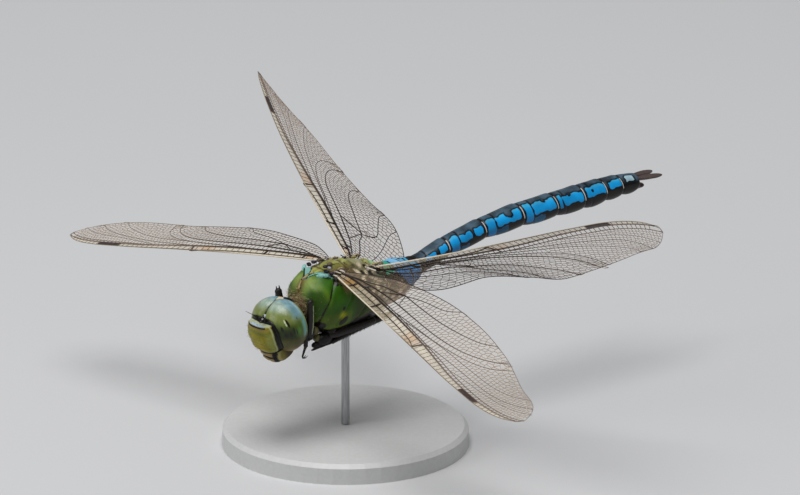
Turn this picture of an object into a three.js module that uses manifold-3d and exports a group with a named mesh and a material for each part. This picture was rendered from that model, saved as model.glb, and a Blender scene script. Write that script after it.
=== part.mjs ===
// A male emperor dragonfly in flight, life size, on a plain display stand.
//
// Units are millimetres and +Z is up. The head points towards -Y and the animal's left is +X.
// The origin is the centre of the underside of the stand's base.
// The animal is drawn in body axes: X to its left, Y towards its tail, Z up, with the zero midway
// between the front wing hinges. One group then tips it nose-down and lifts it onto the rod.
import * as THREE from 'three';
import { mergeVertices } from 'three/addons/utils/BufferGeometryUtils.js';
import Module from 'manifold-3d';

const wasm = await Module();
wasm.setup();

// ---------------------------------------------------------------- driving dimensions
const DEG = Math.PI / 180;
const CUT = 0.3; // thin cut left between neighbouring solids
const BEYOND = 40; // reach of the blocks that cut the head, past all of it
const WELD = 1e-3; // vertices closer than this are one

// Facets of each piece: around it, and along or from pole to pole
const FACETS = {
  thorax: [26, 12],
  prothorax: [24, 4],
  neck: 16,
  ovoid: [20, 12],
  eye: [26, 16],
  mouth: [16, 10],
  abdomen: 20,
  abdomenFront: [24, 4],
  antenna: [8, 2],
  leaf: [8, 4],
  leg: [6, 1],
  knee: [6, 4],
  wing: [22, 2],
  base: 48,
  rod: 24,
};
const ABDOMEN_ROW = 2; // length of abdomen that one row of facets covers

const STAND = { radius: 18, thickness: 3, bevel: 0.6, rodRadius: 0.6, rodY: 2.2, hingeHeight: 28 };
const BODY_PITCH = 6.1 * DEG; // nose-down attitude in flight

// Thorax of the winged segments: stations of [y, top z, bottom z, half width]
const THORAX = [
  [-5.9, -3.2, -6.2, 1.5],
  [-5.6, -1.6, -7.4, 2.9],
  [-4.9, -0.6, -8.4, 3.9],
  [-3.2, 0.0, -9.2, 4.7],
  [0, 0.4, -9.6, 5.0],
  [3.0, -0.1, -9.7, 4.9],
  [6.0, -1.1, -9.7, 4.4],
  [7.7, -1.75, -9.55, 3.6],
  [8.4, -2.15, -9.35, 3.1],
  [8.7, -2.6, -9.05, 2.7],
];
const THORAX_SQUARENESS = 2.15;

// Abdomen: stations of [y, centre z, half width, half height], and the joints of its ten segments
const ABDOMEN = [
  [9.0, -5.75, 2.75, 3.4],
  [10.2, -5.9, 2.6, 3.25],
  [12.0, -5.75, 2.6, 3.1],
  [13.5, -5.6, 2.35, 2.5],
  [15.0, -5.35, 2.0, 1.85],
  [17.2, -4.8, 1.58, 1.4],
  [19.5, -4.3, 1.6, 1.42],
  [25.0, -3.65, 1.68, 1.5],
  [29.5, -3.43, 1.78, 1.56],
  [33.6, -3.45, 1.86, 1.74],
  [37.0, -3.68, 1.9, 1.78],
  [43.5, -4.2, 1.92, 1.8],
  [48.1, -4.6, 1.92, 1.86],
  [52.6, -4.9, 1.82, 1.66],
  [55.3, -5.2, 1.65, 1.52],
  [57.7, -5.55, 1.3, 1.22],
];
const ABDOMEN_JOINTS = [9.0, 10.8, 15.6, 21.4, 28.3, 35.45, 41.85, 47.05, 51.2, 54.4, 57.7];

const PROTHORAX = [
  [-6.75, -3.8, -7.2, 1.3],
  [-6.55, -3.1, -8.0, 2.1],
  [-6.3, -2.9, -8.3, 2.4],
  [-6.2, -3.0, -8.2, 2.3],
];
const NECK = { radius: 1.2, from: -7.5, to: -7.05, z: -5.6 };

// Head: superellipsoids with [x, y, z] centres and radii, tipped nose-down by their tilt.
// The two eyes are the halves of one globe, in front of the flat plate at the back of the head.
const GLOBE = { centre: [0, -9.8, -5.8], radii: [4.75, 3.45, 4.15], squareness: 2.05, tilt: 12 * DEG };
const EYES_BACK = -7.6;
const HEAD_BACK = -7.0;
const HEAD_HOLLOW = { centre: [0, -6.3, -5.6], radii: [2.9, 1.5, 3.1], squareness: 2 };
const FACE = { centre: [0, -12.2, -6.4], radii: [2.9, 2.05, 2.7], squareness: 2.8, tilt: 12 * DEG };
const MOUTH = { centre: [0, -10.7, -9.05], radii: [2.3, 2.1, 1.75], squareness: 2.6, tilt: 18 * DEG };
const ANTENNA = { root: [0.8, -13.1, -3.6], step: [0.75, -1.55, 1.15], radius: 0.25 };

// Wings: outline stations of [span, leading edge, trailing edge], as shares of the wing's length
const WING_THICKNESS = 0.5;
const TIP_CROWDING = 1.35; // above 1, rows of facets stand closer towards the round tip
const FOREWING = {
  length: 51,
  outline: [
    [0, 0, 0.028],
    [0.08, 0, 0.095],
    [0.15, 0, 0.14],
    [0.25, 0, 0.172],
    [0.45, 0, 0.206],
    [0.65, 0, 0.217],
    [0.83, 0.01, 0.198],
    [0.9, 0.022, 0.177],
    [0.95, 0.04, 0.15],
    [0.98, 0.06, 0.125],
    [1, 0.085, 0.1],
  ],
};
const HINDWING = {
  length: 49.5,
  outline: [
    [0, 0, 0.06],
    [0.02, 0, 0.13],
    [0.05, 0, 0.2],
    [0.1, 0, 0.26],
    [0.16, 0, 0.295],
    [0.25, 0, 0.314],
    [0.42, 0, 0.305],
    [0.62, 0, 0.27],
    [0.8, 0.009, 0.222],
    [0.87, 0.02, 0.192],
    [0.93, 0.036, 0.16],
    [0.97, 0.055, 0.13],
    [1, 0.083, 0.097],
  ],
};
// Each wing's place in the beat: its hinge, and in degrees its forward sweep, rise above level,
// upward bend along the span, and the pitch of the chord at these shares of the span
const PITCH_AT = [0, 0.2, 0.35, 0.5, 0.65, 0.8, 1];
const WING_POSES = {
  wing_fore_left: {
    hinge: [1.9, -0.65, -0.4], sweep: 12.8, rise: -6.3, bend: -2.8,
    pitch: [3.5, 5.5, 7.5, 6, -1, -10.5, 0],
  },
  wing_fore_right: {
    hinge: [1.65, 0.7, 0], sweep: 14.1, rise: -4.8, bend: -5.4,
    pitch: [-4, -2.5, 0, -1.5, -3, 0, 3.5],
  },
  wing_hind_left: {
    hinge: [3.0, 5.6, -1.25], sweep: -20.9, rise: 15.9, bend: 5,
    pitch: [-42, -26.5, -31, -37.5, -38.5, -40.5, -61],
  },
  wing_hind_right: {
    hinge: [2.75, 5.7, -1.5], sweep: -21.8, rise: 9.6, bend: 14.5,
    pitch: [-43.5, -35, -30, -35, -39.5, -43.5, -54.5],
  },
};

// Legs, each a row of joints [x, y, z] on the animal's left: hip, knee, ankle, claws
const LEG_RADII = [0.5, 0.5, 0.35, 0.27]; // at the hip, knee, ankle and claws
const KNEE_SWELL = 1.04; // a knee's radius over the limb's
const LEGS = {
  fore: [[3.0, -6.45, -9.3], [3.5, -6.5, -2.55], [2.75, -6.95, -9.5], [2.35, -7.9, -11.4]],
  mid: [[2.9, -2.8, -9.4], [3.7, 4.4, -9.2], [3.0, -2.8, -10.25], [2.6, -6.2, -10.4]],
  hind: [[1.8, 0.6, -10.3], [2.3, 8.6, -9.9], [1.7, -1.0, -10.9], [1.5, -5.2, -10.9]],
};

// Claspers at the tail: a leaf on each side and a short plate under them, narrower at their tips
const LEAF_TAPER = 0.6;
const CERCUS = { root: [0.7, 58.0, -4.95], tip: [1.1, 62.2, -5.7], halfWidth: 0.6, halfThickness: 0.28 };
const EPIPROCT = { root: [0, 58.0, -5.9], tip: [0, 59.4, -6.35], halfWidth: 0.55, halfThickness: 0.28 };

// ---------------------------------------------------------------- materials
const COLOURS = {
  green: [0x5f9a1c, 0.5],
  blue: [0x2490d6, 0.45],
  dark: [0x1d1712, 0.5],
  face: [0xb4b53a, 0.45],
  eye: [0x7d9f86, 0.2],
  wing: [0xc9bda6, 0.35],
  base: [0xe9e7e2, 0.5],
  rod: [0xb9babb, 0.35],
};

function material(name) {
  const [color, roughness] = COLOURS[name];
  return new THREE.MeshStandardMaterial({ color, roughness, metalness: name === 'rod' ? 0.9 : 0 });
}

// ---------------------------------------------------------------- curves and shaping
// One column of a station table at x, on a curve that passes every station and never overshoots
function smooth(table, column, x) {
  const last = table.length - 1;
  let i = 0;
  while (i < last - 1 && x > table[i + 1][0]) i += 1;
  const slope = (k) => (table[k + 1][column] - table[k][column]) / (table[k + 1][0] - table[k][0]);
  const tangent = (k) => {
    if (k === 0 || k === last) return slope(Math.min(k, last - 1));
    const product = slope(k - 1) * slope(k);
    return product <= 0 ? 0 : (2 * product) / (slope(k - 1) + slope(k));
  };
  const span = table[i + 1][0] - table[i][0];
  const t = THREE.MathUtils.clamp((x - table[i][0]) / span, 0, 1);
  const rise = table[i + 1][column] - table[i][column];
  const bow = t * (1 - t) * span;
  const straight = t * t * (3 - 2 * t) * rise;
  return table[i][column] + straight + bow * ((1 - t) * tangent(i) - t * tangent(i + 1));
}

// Moves every vertex of a geometry to the place that a function of its old place gives
function reshape(geometry, place) {
  const points = geometry.attributes.position;
  const vertex = new THREE.Vector3();
  for (let i = 0; i < points.count; i += 1) {
    place(vertex.fromBufferAttribute(points, i));
    points.setXYZ(i, vertex.x, vertex.y, vertex.z);
  }
  geometry.computeVertexNormals();
  return geometry;
}

// Distance factor that turns the unit circle or sphere into a superellipse of the given squareness
function squared(squareness, ...parts) {
  const sum = parts.reduce((total, part) => total + Math.abs(part) ** squareness, 0);
  return sum > 0 ? sum ** (-1 / squareness) : 0;
}

// A length of the trunk from one y to another; section(y) gives its centre z and half sizes
function trunk(from, to, section, facets, squareness = 2) {
  const geometry = new THREE.CylinderGeometry(1, 1, 1, ...facets);
  return reshape(geometry, (v) => {
    const y = THREE.MathUtils.lerp(from, to, v.y + 0.5);
    const [z, halfWidth, halfHeight] = section(y);
    const reach = squared(squareness, v.x, v.z);
    v.set(v.x * reach * halfWidth, y, z + v.z * reach * halfHeight);
  });
}

// Section of a trunk given by stations of [y, top z, bottom z, half width], grown by a margin
function topAndBottom(stations, margin = 0) {
  return (y) => {
    const top = smooth(stations, 1, y) + margin;
    const bottom = smooth(stations, 2, y) - margin;
    return [(top + bottom) / 2, smooth(stations, 3, y) + margin, (top - bottom) / 2];
  };
}

// A superellipsoid, tipped nose-down by its tilt and grown by a margin
function ovoid({ centre, radii, squareness, tilt = 0 }, margin = 0, facets = FACETS.ovoid) {
  const geometry = new THREE.SphereGeometry(1, ...facets);
  reshape(geometry, (v) => {
    v.multiplyScalar(squared(squareness, v.x, v.y, v.z));
    v.multiply(new THREE.Vector3(radii[0] + margin, radii[1] + margin, radii[2] + margin));
  });
  geometry.rotateX(tilt);
  return geometry.translate(...centre);
}

// A straight limb of elliptical section; radii is [root, tip], flatness is its height over its width.
// A steep one is squared up to the Y axis, as the upright gives it no sideways direction.
const STEEP = 0.9;
function limb(from, to, radii, facets, flatness = 1) {
  const start = new THREE.Vector3(...from);
  const end = new THREE.Vector3(...to);
  const ahead = end.clone().sub(start).normalize();
  const guide = Math.abs(ahead.z) > STEEP ? new THREE.Vector3(0, 1, 0) : new THREE.Vector3(0, 0, 1);
  const side = new THREE.Vector3().crossVectors(ahead, guide).normalize();
  const up = new THREE.Vector3().crossVectors(side, ahead);
  return reshape(new THREE.CylinderGeometry(1, 1, 1, ...facets), (v) => {
    const t = v.y + 0.5;
    const radius = THREE.MathUtils.lerp(radii[0], radii[1], t);
    const centre = start.clone().lerp(end, t);
    v.copy(centre.addScaledVector(side, v.x * radius).addScaledVector(up, v.z * radius * flatness));
  });
}

// ---------------------------------------------------------------- joins and cuts
function solid(geometry) {
  const bare = geometry.clone();
  bare.deleteAttribute('normal');
  bare.deleteAttribute('uv');
  const merged = mergeVertices(bare, WELD);
  return new wasm.Manifold(new wasm.Mesh({
    numProp: 3,
    vertProperties: new Float32Array(merged.attributes.position.array),
    triVerts: new Uint32Array(merged.index.array),
  }));
}

function geometryOf(body) {
  const { vertProperties, triVerts } = body.getMesh();
  const geometry = new THREE.BufferGeometry();
  geometry.setAttribute('position', new THREE.BufferAttribute(vertProperties, 3));
  geometry.setIndex(new THREE.BufferAttribute(triVerts, 1));
  const facets = geometry.toNonIndexed();
  facets.computeVertexNormals();
  return facets;
}

const cut = (geometry, ...tools) =>
  geometryOf(tools.reduce((body, tool) => body.subtract(solid(tool)), solid(geometry)));

const join = (...geometries) =>
  geometryOf(geometries.map(solid).reduce((body, other) => body.add(other)));

// ---------------------------------------------------------------- the animal's pieces
const dragonfly = new THREE.Group();
dragonfly.rotation.x = BODY_PITCH;
const leftSide = new THREE.Group();
const rightSide = new THREE.Group();
rightSide.scale.x = -1;
dragonfly.add(leftSide, rightSide);

function add(group, name, geometry, colour) {
  const mesh = new THREE.Mesh(geometry, material(colour));
  mesh.name = name;
  group.add(mesh);
}

function thoraxSolid(margin) {
  const front = THORAX[0][0] - margin;
  const rear = THORAX.at(-1)[0] + margin;
  return trunk(front, rear, topAndBottom(THORAX, margin), FACETS.thorax, THORAX_SQUARENESS);
}

function buildTrunk() {
  add(dragonfly, 'thorax', thoraxSolid(0), 'green');
  const front = PROTHORAX[0][0];
  const rear = PROTHORAX.at(-1)[0];
  add(dragonfly, 'prothorax', trunk(front, rear, topAndBottom(PROTHORAX), FACETS.prothorax), 'green');
  const neck = new THREE.CylinderGeometry(NECK.radius, NECK.radius, NECK.to - NECK.from, FACETS.neck);
  neck.translate(0, (NECK.from + NECK.to) / 2, NECK.z);
  add(dragonfly, 'neck', neck, 'green');
}

// A block that fills the head's surroundings from x0 to x1 and from y0 to y1
function block([x0, x1], [y0, y1]) {
  const geometry = new THREE.BoxGeometry(x1 - x0, y1 - y0, BEYOND);
  return geometry.translate((x0 + x1) / 2, (y0 + y1) / 2, GLOBE.centre[2]);
}

// The plate at the back of the head, opened where the neck joins it
function headPlate() {
  const inFront = block([-BEYOND, BEYOND], [-BEYOND, EYES_BACK + CUT / 2]);
  const behind = block([-BEYOND, BEYOND], [HEAD_BACK, BEYOND]);
  return cut(ovoid(GLOBE), inFront, behind, ovoid(HEAD_HOLLOW), ovoid(MOUTH, CUT));
}

function buildHead() {
  const otherHalf = block([-BEYOND, CUT / 2], [-BEYOND, BEYOND]);
  const behind = block([-BEYOND, BEYOND], [EYES_BACK - CUT / 2, BEYOND]);
  const globe = ovoid(GLOBE, 0, FACETS.eye);
  const eye = cut(globe, otherHalf, behind, ovoid(FACE, CUT), ovoid(MOUTH, CUT));
  add(leftSide, 'eye_left', eye, 'eye');
  add(rightSide, 'eye_right', eye, 'eye');
  add(dragonfly, 'head', headPlate(), 'dark');
  add(dragonfly, 'face', ovoid(FACE), 'face');
  add(dragonfly, 'mouthparts', cut(ovoid(MOUTH, 0, FACETS.mouth), ovoid(FACE, CUT)), 'face');
  const tip = ANTENNA.root.map((value, i) => value + ANTENNA.step[i]);
  const feeler = limb(ANTENNA.root, tip, [ANTENNA.radius, ANTENNA.radius], FACETS.antenna);
  const antenna = cut(feeler, ovoid(FACE, CUT));
  add(leftSide, 'antenna_left', antenna, 'dark');
  add(rightSide, 'antenna_right', antenna, 'dark');
}

function buildAbdomen() {
  const section = (y) => [1, 2, 3].map((column) => smooth(ABDOMEN, column, y));
  for (let i = 1; i < ABDOMEN_JOINTS.length; i += 1) {
    const from = ABDOMEN_JOINTS[i - 1] + CUT / 2;
    const to = ABDOMEN_JOINTS[i] - CUT / 2;
    const rows = Math.max(1, Math.round((to - from) / ABDOMEN_ROW));
    const segment = trunk(from, to, section, [FACETS.abdomen, rows]);
    add(dragonfly, `abdomen_${i}`, segment, i === 1 ? 'green' : 'blue');
  }
  const leaf = ({ root, tip, halfWidth, halfThickness }) =>
    limb(root, tip, [halfWidth, halfWidth * LEAF_TAPER], FACETS.leaf, halfThickness / halfWidth);
  add(leftSide, 'cercus_left', leaf(CERCUS), 'dark');
  add(rightSide, 'cercus_right', leaf(CERCUS), 'dark');
  add(dragonfly, 'epiproct', leaf(EPIPROCT), 'dark');
}

// The sum of two vectors, each times its own factor
const blend = (a, factorA, b, factorB) => a.clone().multiplyScalar(factorA).addScaledVector(b, factorB);

// Places a point of a left wing: span and chord are shares of its length, lift is across its thickness
function wingPlace({ length }, pose) {
  const sweep = pose.sweep * DEG;
  const rise = pose.rise * DEG;
  const bend = pose.bend * DEG;
  const level = Math.cos(rise);
  const spanwise = new THREE.Vector3(level * Math.cos(sweep), -level * Math.sin(sweep), Math.sin(rise));
  const chordwise = new THREE.Vector3(0, 1, 0).addScaledVector(spanwise, -spanwise.y).normalize();
  const upward = new THREE.Vector3().crossVectors(spanwise, chordwise);
  const pitches = PITCH_AT.map((at, i) => [at, pose.pitch[i]]);
  return (span, chord, lift) => {
    // the span follows an arc that turns by the whole bend from root to tip
    const turn = bend * span;
    const along = Math.sin(turn) / bend;
    const above = (1 - Math.cos(turn)) / bend;
    const up = blend(spanwise, -Math.sin(turn), upward, Math.cos(turn));
    const pitch = smooth(pitches, 1, span) * DEG;
    const back = blend(chordwise, Math.cos(pitch), up, Math.sin(pitch));
    const normal = blend(up, Math.cos(pitch), chordwise, -Math.sin(pitch));
    return new THREE.Vector3(...pose.hinge)
      .addScaledVector(spanwise, along * length)
      .addScaledVector(upward, above * length)
      .addScaledVector(back, chord * length)
      .addScaledVector(normal, lift);
  };
}

function wing(kind, pose) {
  const place = wingPlace(kind, pose);
  const slab = new THREE.BoxGeometry(1, 1, 1, ...FACETS.wing);
  reshape(slab, (v) => {
    const span = 1 - (0.5 - v.x) ** TIP_CROWDING;
    const lead = smooth(kind.outline, 1, span);
    const trail = smooth(kind.outline, 2, span);
    v.copy(place(span, THREE.MathUtils.lerp(lead, trail, v.y + 0.5), v.z * WING_THICKNESS));
  });
  return cut(slab, thoraxSolid(CUT), abdomenFront());
}

// The first abdomen segments with a margin, which the broad hindwing bases keep clear of
function abdomenFront() {
  const section = (y) => [smooth(ABDOMEN, 1, y), smooth(ABDOMEN, 2, y) + CUT, smooth(ABDOMEN, 3, y) + CUT];
  return trunk(ABDOMEN_JOINTS[0], ABDOMEN_JOINTS[3], section, FACETS.abdomenFront);
}

function buildWings() {
  for (const [name, pose] of Object.entries(WING_POSES)) {
    const kind = name.includes('fore') ? FOREWING : HINDWING;
    add(name.endsWith('left') ? leftSide : rightSide, name, wing(kind, pose), 'wing');
  }
}

// A folded leg: a thigh, a shin laid back against it and a thin foot, joined at round knees
function leg(joints) {
  const pieces = [];
  for (let i = 1; i < joints.length; i += 1) {
    pieces.push(limb(joints[i - 1], joints[i], LEG_RADII.slice(i - 1, i + 1), FACETS.leg));
    const knee = new THREE.SphereGeometry(LEG_RADII[i] * KNEE_SWELL, ...FACETS.knee);
    pieces.push(knee.translate(...joints[i]));
  }
  return cut(join(...pieces), thoraxSolid(CUT));
}

function buildLegs() {
  for (const [name, joints] of Object.entries(LEGS)) {
    add(leftSide, `leg_${name}_left`, leg(joints), 'dark');
    add(rightSide, `leg_${name}_right`, leg(joints), 'dark');
  }
}

// ---------------------------------------------------------------- the stand
function buildStand(group) {
  const { radius, thickness, bevel, rodRadius, rodY, hingeHeight } = STAND;
  const profile = [
    [0, 0],
    [radius, 0],
    [radius, thickness - bevel],
    [radius - bevel, thickness],
    [0, thickness],
  ].map(([x, y]) => new THREE.Vector2(x, y));
  add(group, 'stand_base', new THREE.LatheGeometry(profile, FACETS.base).rotateX(Math.PI / 2), 'base');
  const under = smooth(THORAX, 2, rodY);
  const reach = hingeHeight + rodY * Math.sin(BODY_PITCH) + under * Math.cos(BODY_PITCH) - 2 * CUT;
  const rod = new THREE.CylinderGeometry(rodRadius, rodRadius, reach - thickness, FACETS.rod);
  rod.rotateX(Math.PI / 2);
  add(group, 'stand_rod', rod.translate(0, 0, (reach + thickness) / 2 + CUT / 2), 'rod');
  // the thorax's underside at rodY comes to stand over the rod
  const shift = rodY * Math.cos(BODY_PITCH) - under * Math.sin(BODY_PITCH);
  dragonfly.position.set(0, -shift, hingeHeight);
}

buildTrunk();
buildHead();
buildAbdomen();
buildWings();
buildLegs();
const model = new THREE.Group();
buildStand(model);
model.add(dragonfly);

export default model;
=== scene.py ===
# %% [markdown]
# # A male emperor dragonfly, life size
#
# The model is a flying insect held on a thin rod, as a museum shows it. The imported solids give its sizes
# and its pose. This notebook gives it a living skin: painted cuticle, faceted eyes, and wings with every
# vein. We begin by loading the frame, which never moves.

# %% Load the frame
import math
import random

import bmesh
import bpy
import numpy as np
from mathutils import Matrix, Vector


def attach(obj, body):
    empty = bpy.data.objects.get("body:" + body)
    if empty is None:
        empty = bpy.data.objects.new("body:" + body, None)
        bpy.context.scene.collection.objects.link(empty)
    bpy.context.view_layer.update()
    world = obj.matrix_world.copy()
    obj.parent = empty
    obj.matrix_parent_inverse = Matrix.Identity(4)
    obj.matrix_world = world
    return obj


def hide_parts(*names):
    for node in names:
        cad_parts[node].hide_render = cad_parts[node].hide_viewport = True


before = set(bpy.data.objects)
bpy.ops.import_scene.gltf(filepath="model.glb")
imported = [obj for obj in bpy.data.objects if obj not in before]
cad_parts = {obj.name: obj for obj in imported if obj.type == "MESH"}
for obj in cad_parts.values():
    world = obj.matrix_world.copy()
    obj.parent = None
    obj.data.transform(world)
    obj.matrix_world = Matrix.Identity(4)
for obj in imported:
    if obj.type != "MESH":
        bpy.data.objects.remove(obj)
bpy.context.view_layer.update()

# %% [markdown]
# ## Body axes
#
# An insect is easier to draw lying level than tipped in flight. So every piece is drawn in body axes, in
# millimetres: X to the animal's left, Y to its tail, Z up, with the zero midway between the front wing
# hinges. One matrix then tips the piece nose-down, shrinks it to metres and lifts it onto the rod. The
# objects themselves stay at the origin, unturned, so a pattern on Object coordinates sits still on them.

# %% Body axes
HINGE_HEIGHT = 28.0
BODY_PITCH = math.radians(6.1)
ROD_Y = 2.2  # where the rod meets the belly


def smooth(stations, column, x):
    """One column of a station table at x, on a curve through every station that never overshoots."""
    last = len(stations) - 1
    i = 0
    while i < last - 1 and x > stations[i + 1][0]:
        i += 1

    def slope(k):
        return (stations[k + 1][column] - stations[k][column]) / (stations[k + 1][0] - stations[k][0])

    def tangent(k):
        if k in (0, last):
            return slope(min(k, last - 1))
        product = slope(k - 1) * slope(k)
        return 0 if product <= 0 else 2 * product / (slope(k - 1) + slope(k))

    span = stations[i + 1][0] - stations[i][0]
    t = min(max((x - stations[i][0]) / span, 0), 1)
    rise = stations[i + 1][column] - stations[i][column]
    bend = (1 - t) * tangent(i) - t * tangent(i + 1)
    return stations[i][column] + t * t * (3 - 2 * t) * rise + t * (1 - t) * span * bend


# Neck, prothorax and thorax: stations of [y, top z, bottom z, half width]
THORAX = [
    [-7.7, -4.9, -6.3, 0.7],
    [-7.5, -4.4, -6.8, 1.2],
    [-6.95, -4.3, -6.9, 1.3],
    [-6.7, -3.5, -7.5, 1.8],
    [-6.45, -3.0, -8.1, 2.3],
    [-6.25, -2.9, -8.2, 2.35],
    [-6.08, -3.0, -7.9, 2.2],
    [-5.95, -2.6, -7.6, 2.3],
    [-5.6, -1.6, -7.5, 2.9],
    [-4.9, -0.6, -8.4, 3.9],
    [-3.2, 0.0, -9.2, 4.7],
    [0, 0.4, -9.6, 5.0],
    [3.0, -0.1, -9.7, 4.9],
    [6.0, -1.1, -9.7, 4.4],
    [7.7, -1.75, -9.55, 3.6],
    [8.4, -2.15, -9.35, 3.1],
    [8.8, -2.6, -9.05, 2.7],
]
# Abdomen: stations of [y, centre z, half width, half height]
ABDOMEN = [
    [9.0, -5.75, 2.75, 3.4],
    [10.2, -5.9, 2.6, 3.25],
    [12.0, -5.75, 2.6, 3.1],
    [13.5, -5.6, 2.35, 2.5],
    [15.0, -5.35, 2.0, 1.85],
    [17.2, -4.8, 1.58, 1.4],
    [19.5, -4.3, 1.6, 1.42],
    [25.0, -3.65, 1.68, 1.5],
    [29.5, -3.43, 1.78, 1.56],
    [33.6, -3.45, 1.86, 1.74],
    [37.0, -3.68, 1.9, 1.78],
    [43.5, -4.2, 1.92, 1.8],
    [48.1, -4.6, 1.92, 1.86],
    [52.6, -4.9, 1.82, 1.66],
    [55.3, -5.2, 1.65, 1.52],
    [57.7, -5.55, 1.3, 1.22],
    [58.1, -5.6, 0.5, 0.4],
]
JOINTS = [9.0, 10.8, 15.6, 21.4, 28.3, 35.45, 41.85, 47.05, 51.2, 54.4, 57.7]

belly = smooth(THORAX, 2, ROD_Y)
rod_shift = ROD_Y * math.cos(BODY_PITCH) - belly * math.sin(BODY_PITCH)
BODY = (
    Matrix.Scale(0.001, 4)
    @ Matrix.Translation((0, -rod_shift, HINGE_HEIGHT))
    @ Matrix.Rotation(BODY_PITCH, 4, "X")
)
print("hinges stand", round(1000 * BODY.translation.z, 2), "mm over the floor")

# %% [markdown]
# ## Camera, floor and light
#
# The animal is seen from its front left and a little above, through a long lens, so it is almost without
# perspective. The floor is a plain pale sheet, and the light is soft: a wide panel overhead for the sky,
# a weaker one from the front, and a pale surround that fills the shadows.

# %% Camera
AZIMUTH = math.radians(50.7)
ELEVATION = math.radians(19.0)
FRAME_WIDTH = 116.36  # mm across the picture at the animal
AIM_RIGHT, AIM_UP = 10.44, 2.81  # mm from the hinges to the middle of the picture
LENS = 900.0  # mm; so long that distance hardly shrinks anything

right = Vector((math.cos(AZIMUTH), math.sin(AZIMUTH), 0))
back = Vector((
    math.sin(AZIMUTH) * math.cos(ELEVATION),
    -math.cos(AZIMUTH) * math.cos(ELEVATION),
    math.sin(ELEVATION),
))
camera = bpy.data.objects.new("camera", bpy.data.cameras.new("camera"))
bpy.context.scene.collection.objects.link(camera)
bpy.context.scene.camera = camera
camera.data.lens = LENS
camera.data.clip_end = 20
aim = BODY.translation + 0.001 * (AIM_RIGHT * right + AIM_UP * back.cross(right))
camera.location = aim + back * 0.001 * FRAME_WIDTH * LENS / camera.data.sensor_width
camera.rotation_euler = back.to_track_quat("Z", "Y").to_euler()
print("camera", round(camera.location.z, 3), "m over the floor")

# %% Colours and nodes


def linear(hex_colour):
    """An sRGB colour such as 0x4C8A10 as linear red, green, blue and alpha."""
    parts = [(hex_colour >> shift & 255) / 255 for shift in (16, 8, 0)]
    return [c / 12.92 if c <= 0.04045 else ((c + 0.055) / 1.055) ** 2.4 for c in parts] + [1.0]


def add(tree, kind, inputs=None, stops=None, **settings):
    """Adds a node: settings are its properties, inputs are values to set or sockets to link."""
    node = tree.nodes.new(kind)
    for name, value in settings.items():
        setattr(node, name, value)
    for i, (place, colour) in enumerate(stops or []):
        elements = node.color_ramp.elements
        element = elements[i] if i < 2 else elements.new(place)
        element.position = place
        element.color = linear(colour)
    for name, value in (inputs or {}).items():
        if isinstance(value, bpy.types.NodeSocket):
            tree.links.new(value, node.inputs[name])
        else:
            node.inputs[name].default_value = value
    return node


def new_material(name):
    """An empty material with its Principled shader, ready for the nodes of one real stuff."""
    material = bpy.data.materials.new(name)
    material.use_nodes = True
    tree = material.node_tree
    return material, tree, tree.nodes["Principled BSDF"]


# %% Floor and light
floor_material, tree, shader = new_material("pale_card_floor")
grain = add(tree, "ShaderNodeTexNoise", {"Scale": 30.0, "Detail": 3.0})
card = [(0.3, 0xC9C9CA), (0.7, 0xCCCCCD)]
tint = add(tree, "ShaderNodeValToRGB", {"Fac": grain.outputs["Fac"]}, stops=card)
tree.links.new(tint.outputs["Color"], shader.inputs["Base Color"])
shader.inputs["Roughness"].default_value = 0.9

bm = bmesh.new()
bmesh.ops.create_grid(bm, x_segments=1, y_segments=1, size=3.0)
floor = bpy.data.objects.new("floor", bpy.data.meshes.new("floor"))
bm.to_mesh(floor.data)
bm.free()
floor.data.materials.append(floor_material)
bpy.context.scene.collection.objects.link(floor)


def panel_light(name, place, size, power):
    """A square soft light that faces the animal."""
    lamp = bpy.data.lights.new(name, "AREA")
    lamp.size = size
    lamp.energy = power
    light = bpy.data.objects.new(name, lamp)
    light.location = place
    light.rotation_euler = (Vector(place) - BODY.translation).to_track_quat("Z", "Y").to_euler()
    bpy.context.scene.collection.objects.link(light)


panel_light("sky_panel", (0.1, -0.15, 0.9), 0.5, 6.6)
panel_light("front_panel", (-0.2, -1.0, 0.5), 0.5, 3.0)
world = bpy.data.worlds.new("pale_surround")
bpy.context.scene.world = world
world.use_nodes = True
world.node_tree.nodes["Background"].inputs["Color"].default_value = linear(0xEDF1F5)
world.node_tree.nodes["Background"].inputs["Strength"].default_value = 0.24
bpy.context.scene.view_settings.view_transform = "Standard"

# %% [markdown]
# ## From a shape to a finished piece
#
# Every piece below starts as a bmesh shape in body millimetres. These helpers read its vertices as
# arrays, paint values on them for the materials to read, and turn the finished bmesh into an object in
# the frame.

# %% Helpers for pieces


def places(bm):
    """The vertices' places as an array of x, y, z."""
    return np.array([v.co for v in bm.verts])


def move_to(bm, points):
    """Moves every vertex to its row of an array, then finds the normals again."""
    for vertex, point in zip(bm.verts, points):
        vertex.co = point
    bm.normal_update()


def raise_by(bm, heights):
    """Lifts every vertex along its own normal by its height in mm."""
    normals = np.array([v.normal for v in bm.verts])
    move_to(bm, places(bm) + normals * np.asarray(heights)[:, None])


def paint(bm, name, values):
    """Stores a colour (rows of three) or a number for each vertex under a name that materials read."""
    values = np.asarray(values, float)
    if values.ndim == 2:
        layer = bm.verts.layers.float_color.get(name) or bm.verts.layers.float_color.new(name)
        for vertex, value in zip(bm.verts, values):
            vertex[layer] = (*value[:3], 1.0)
    else:
        layer = bm.verts.layers.float.get(name) or bm.verts.layers.float.new(name)
        for vertex, value in zip(bm.verts, values):
            vertex[layer] = value


def wash(rows, layers):
    """Lays colours over rows of colour, one after another, each by its share for each row."""
    for hex_colour, share in layers:
        share = np.clip(share, 0, 1)[:, None]
        rows = rows * (1 - share) + np.array(linear(hex_colour)[:3]) * share
    return rows


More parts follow.
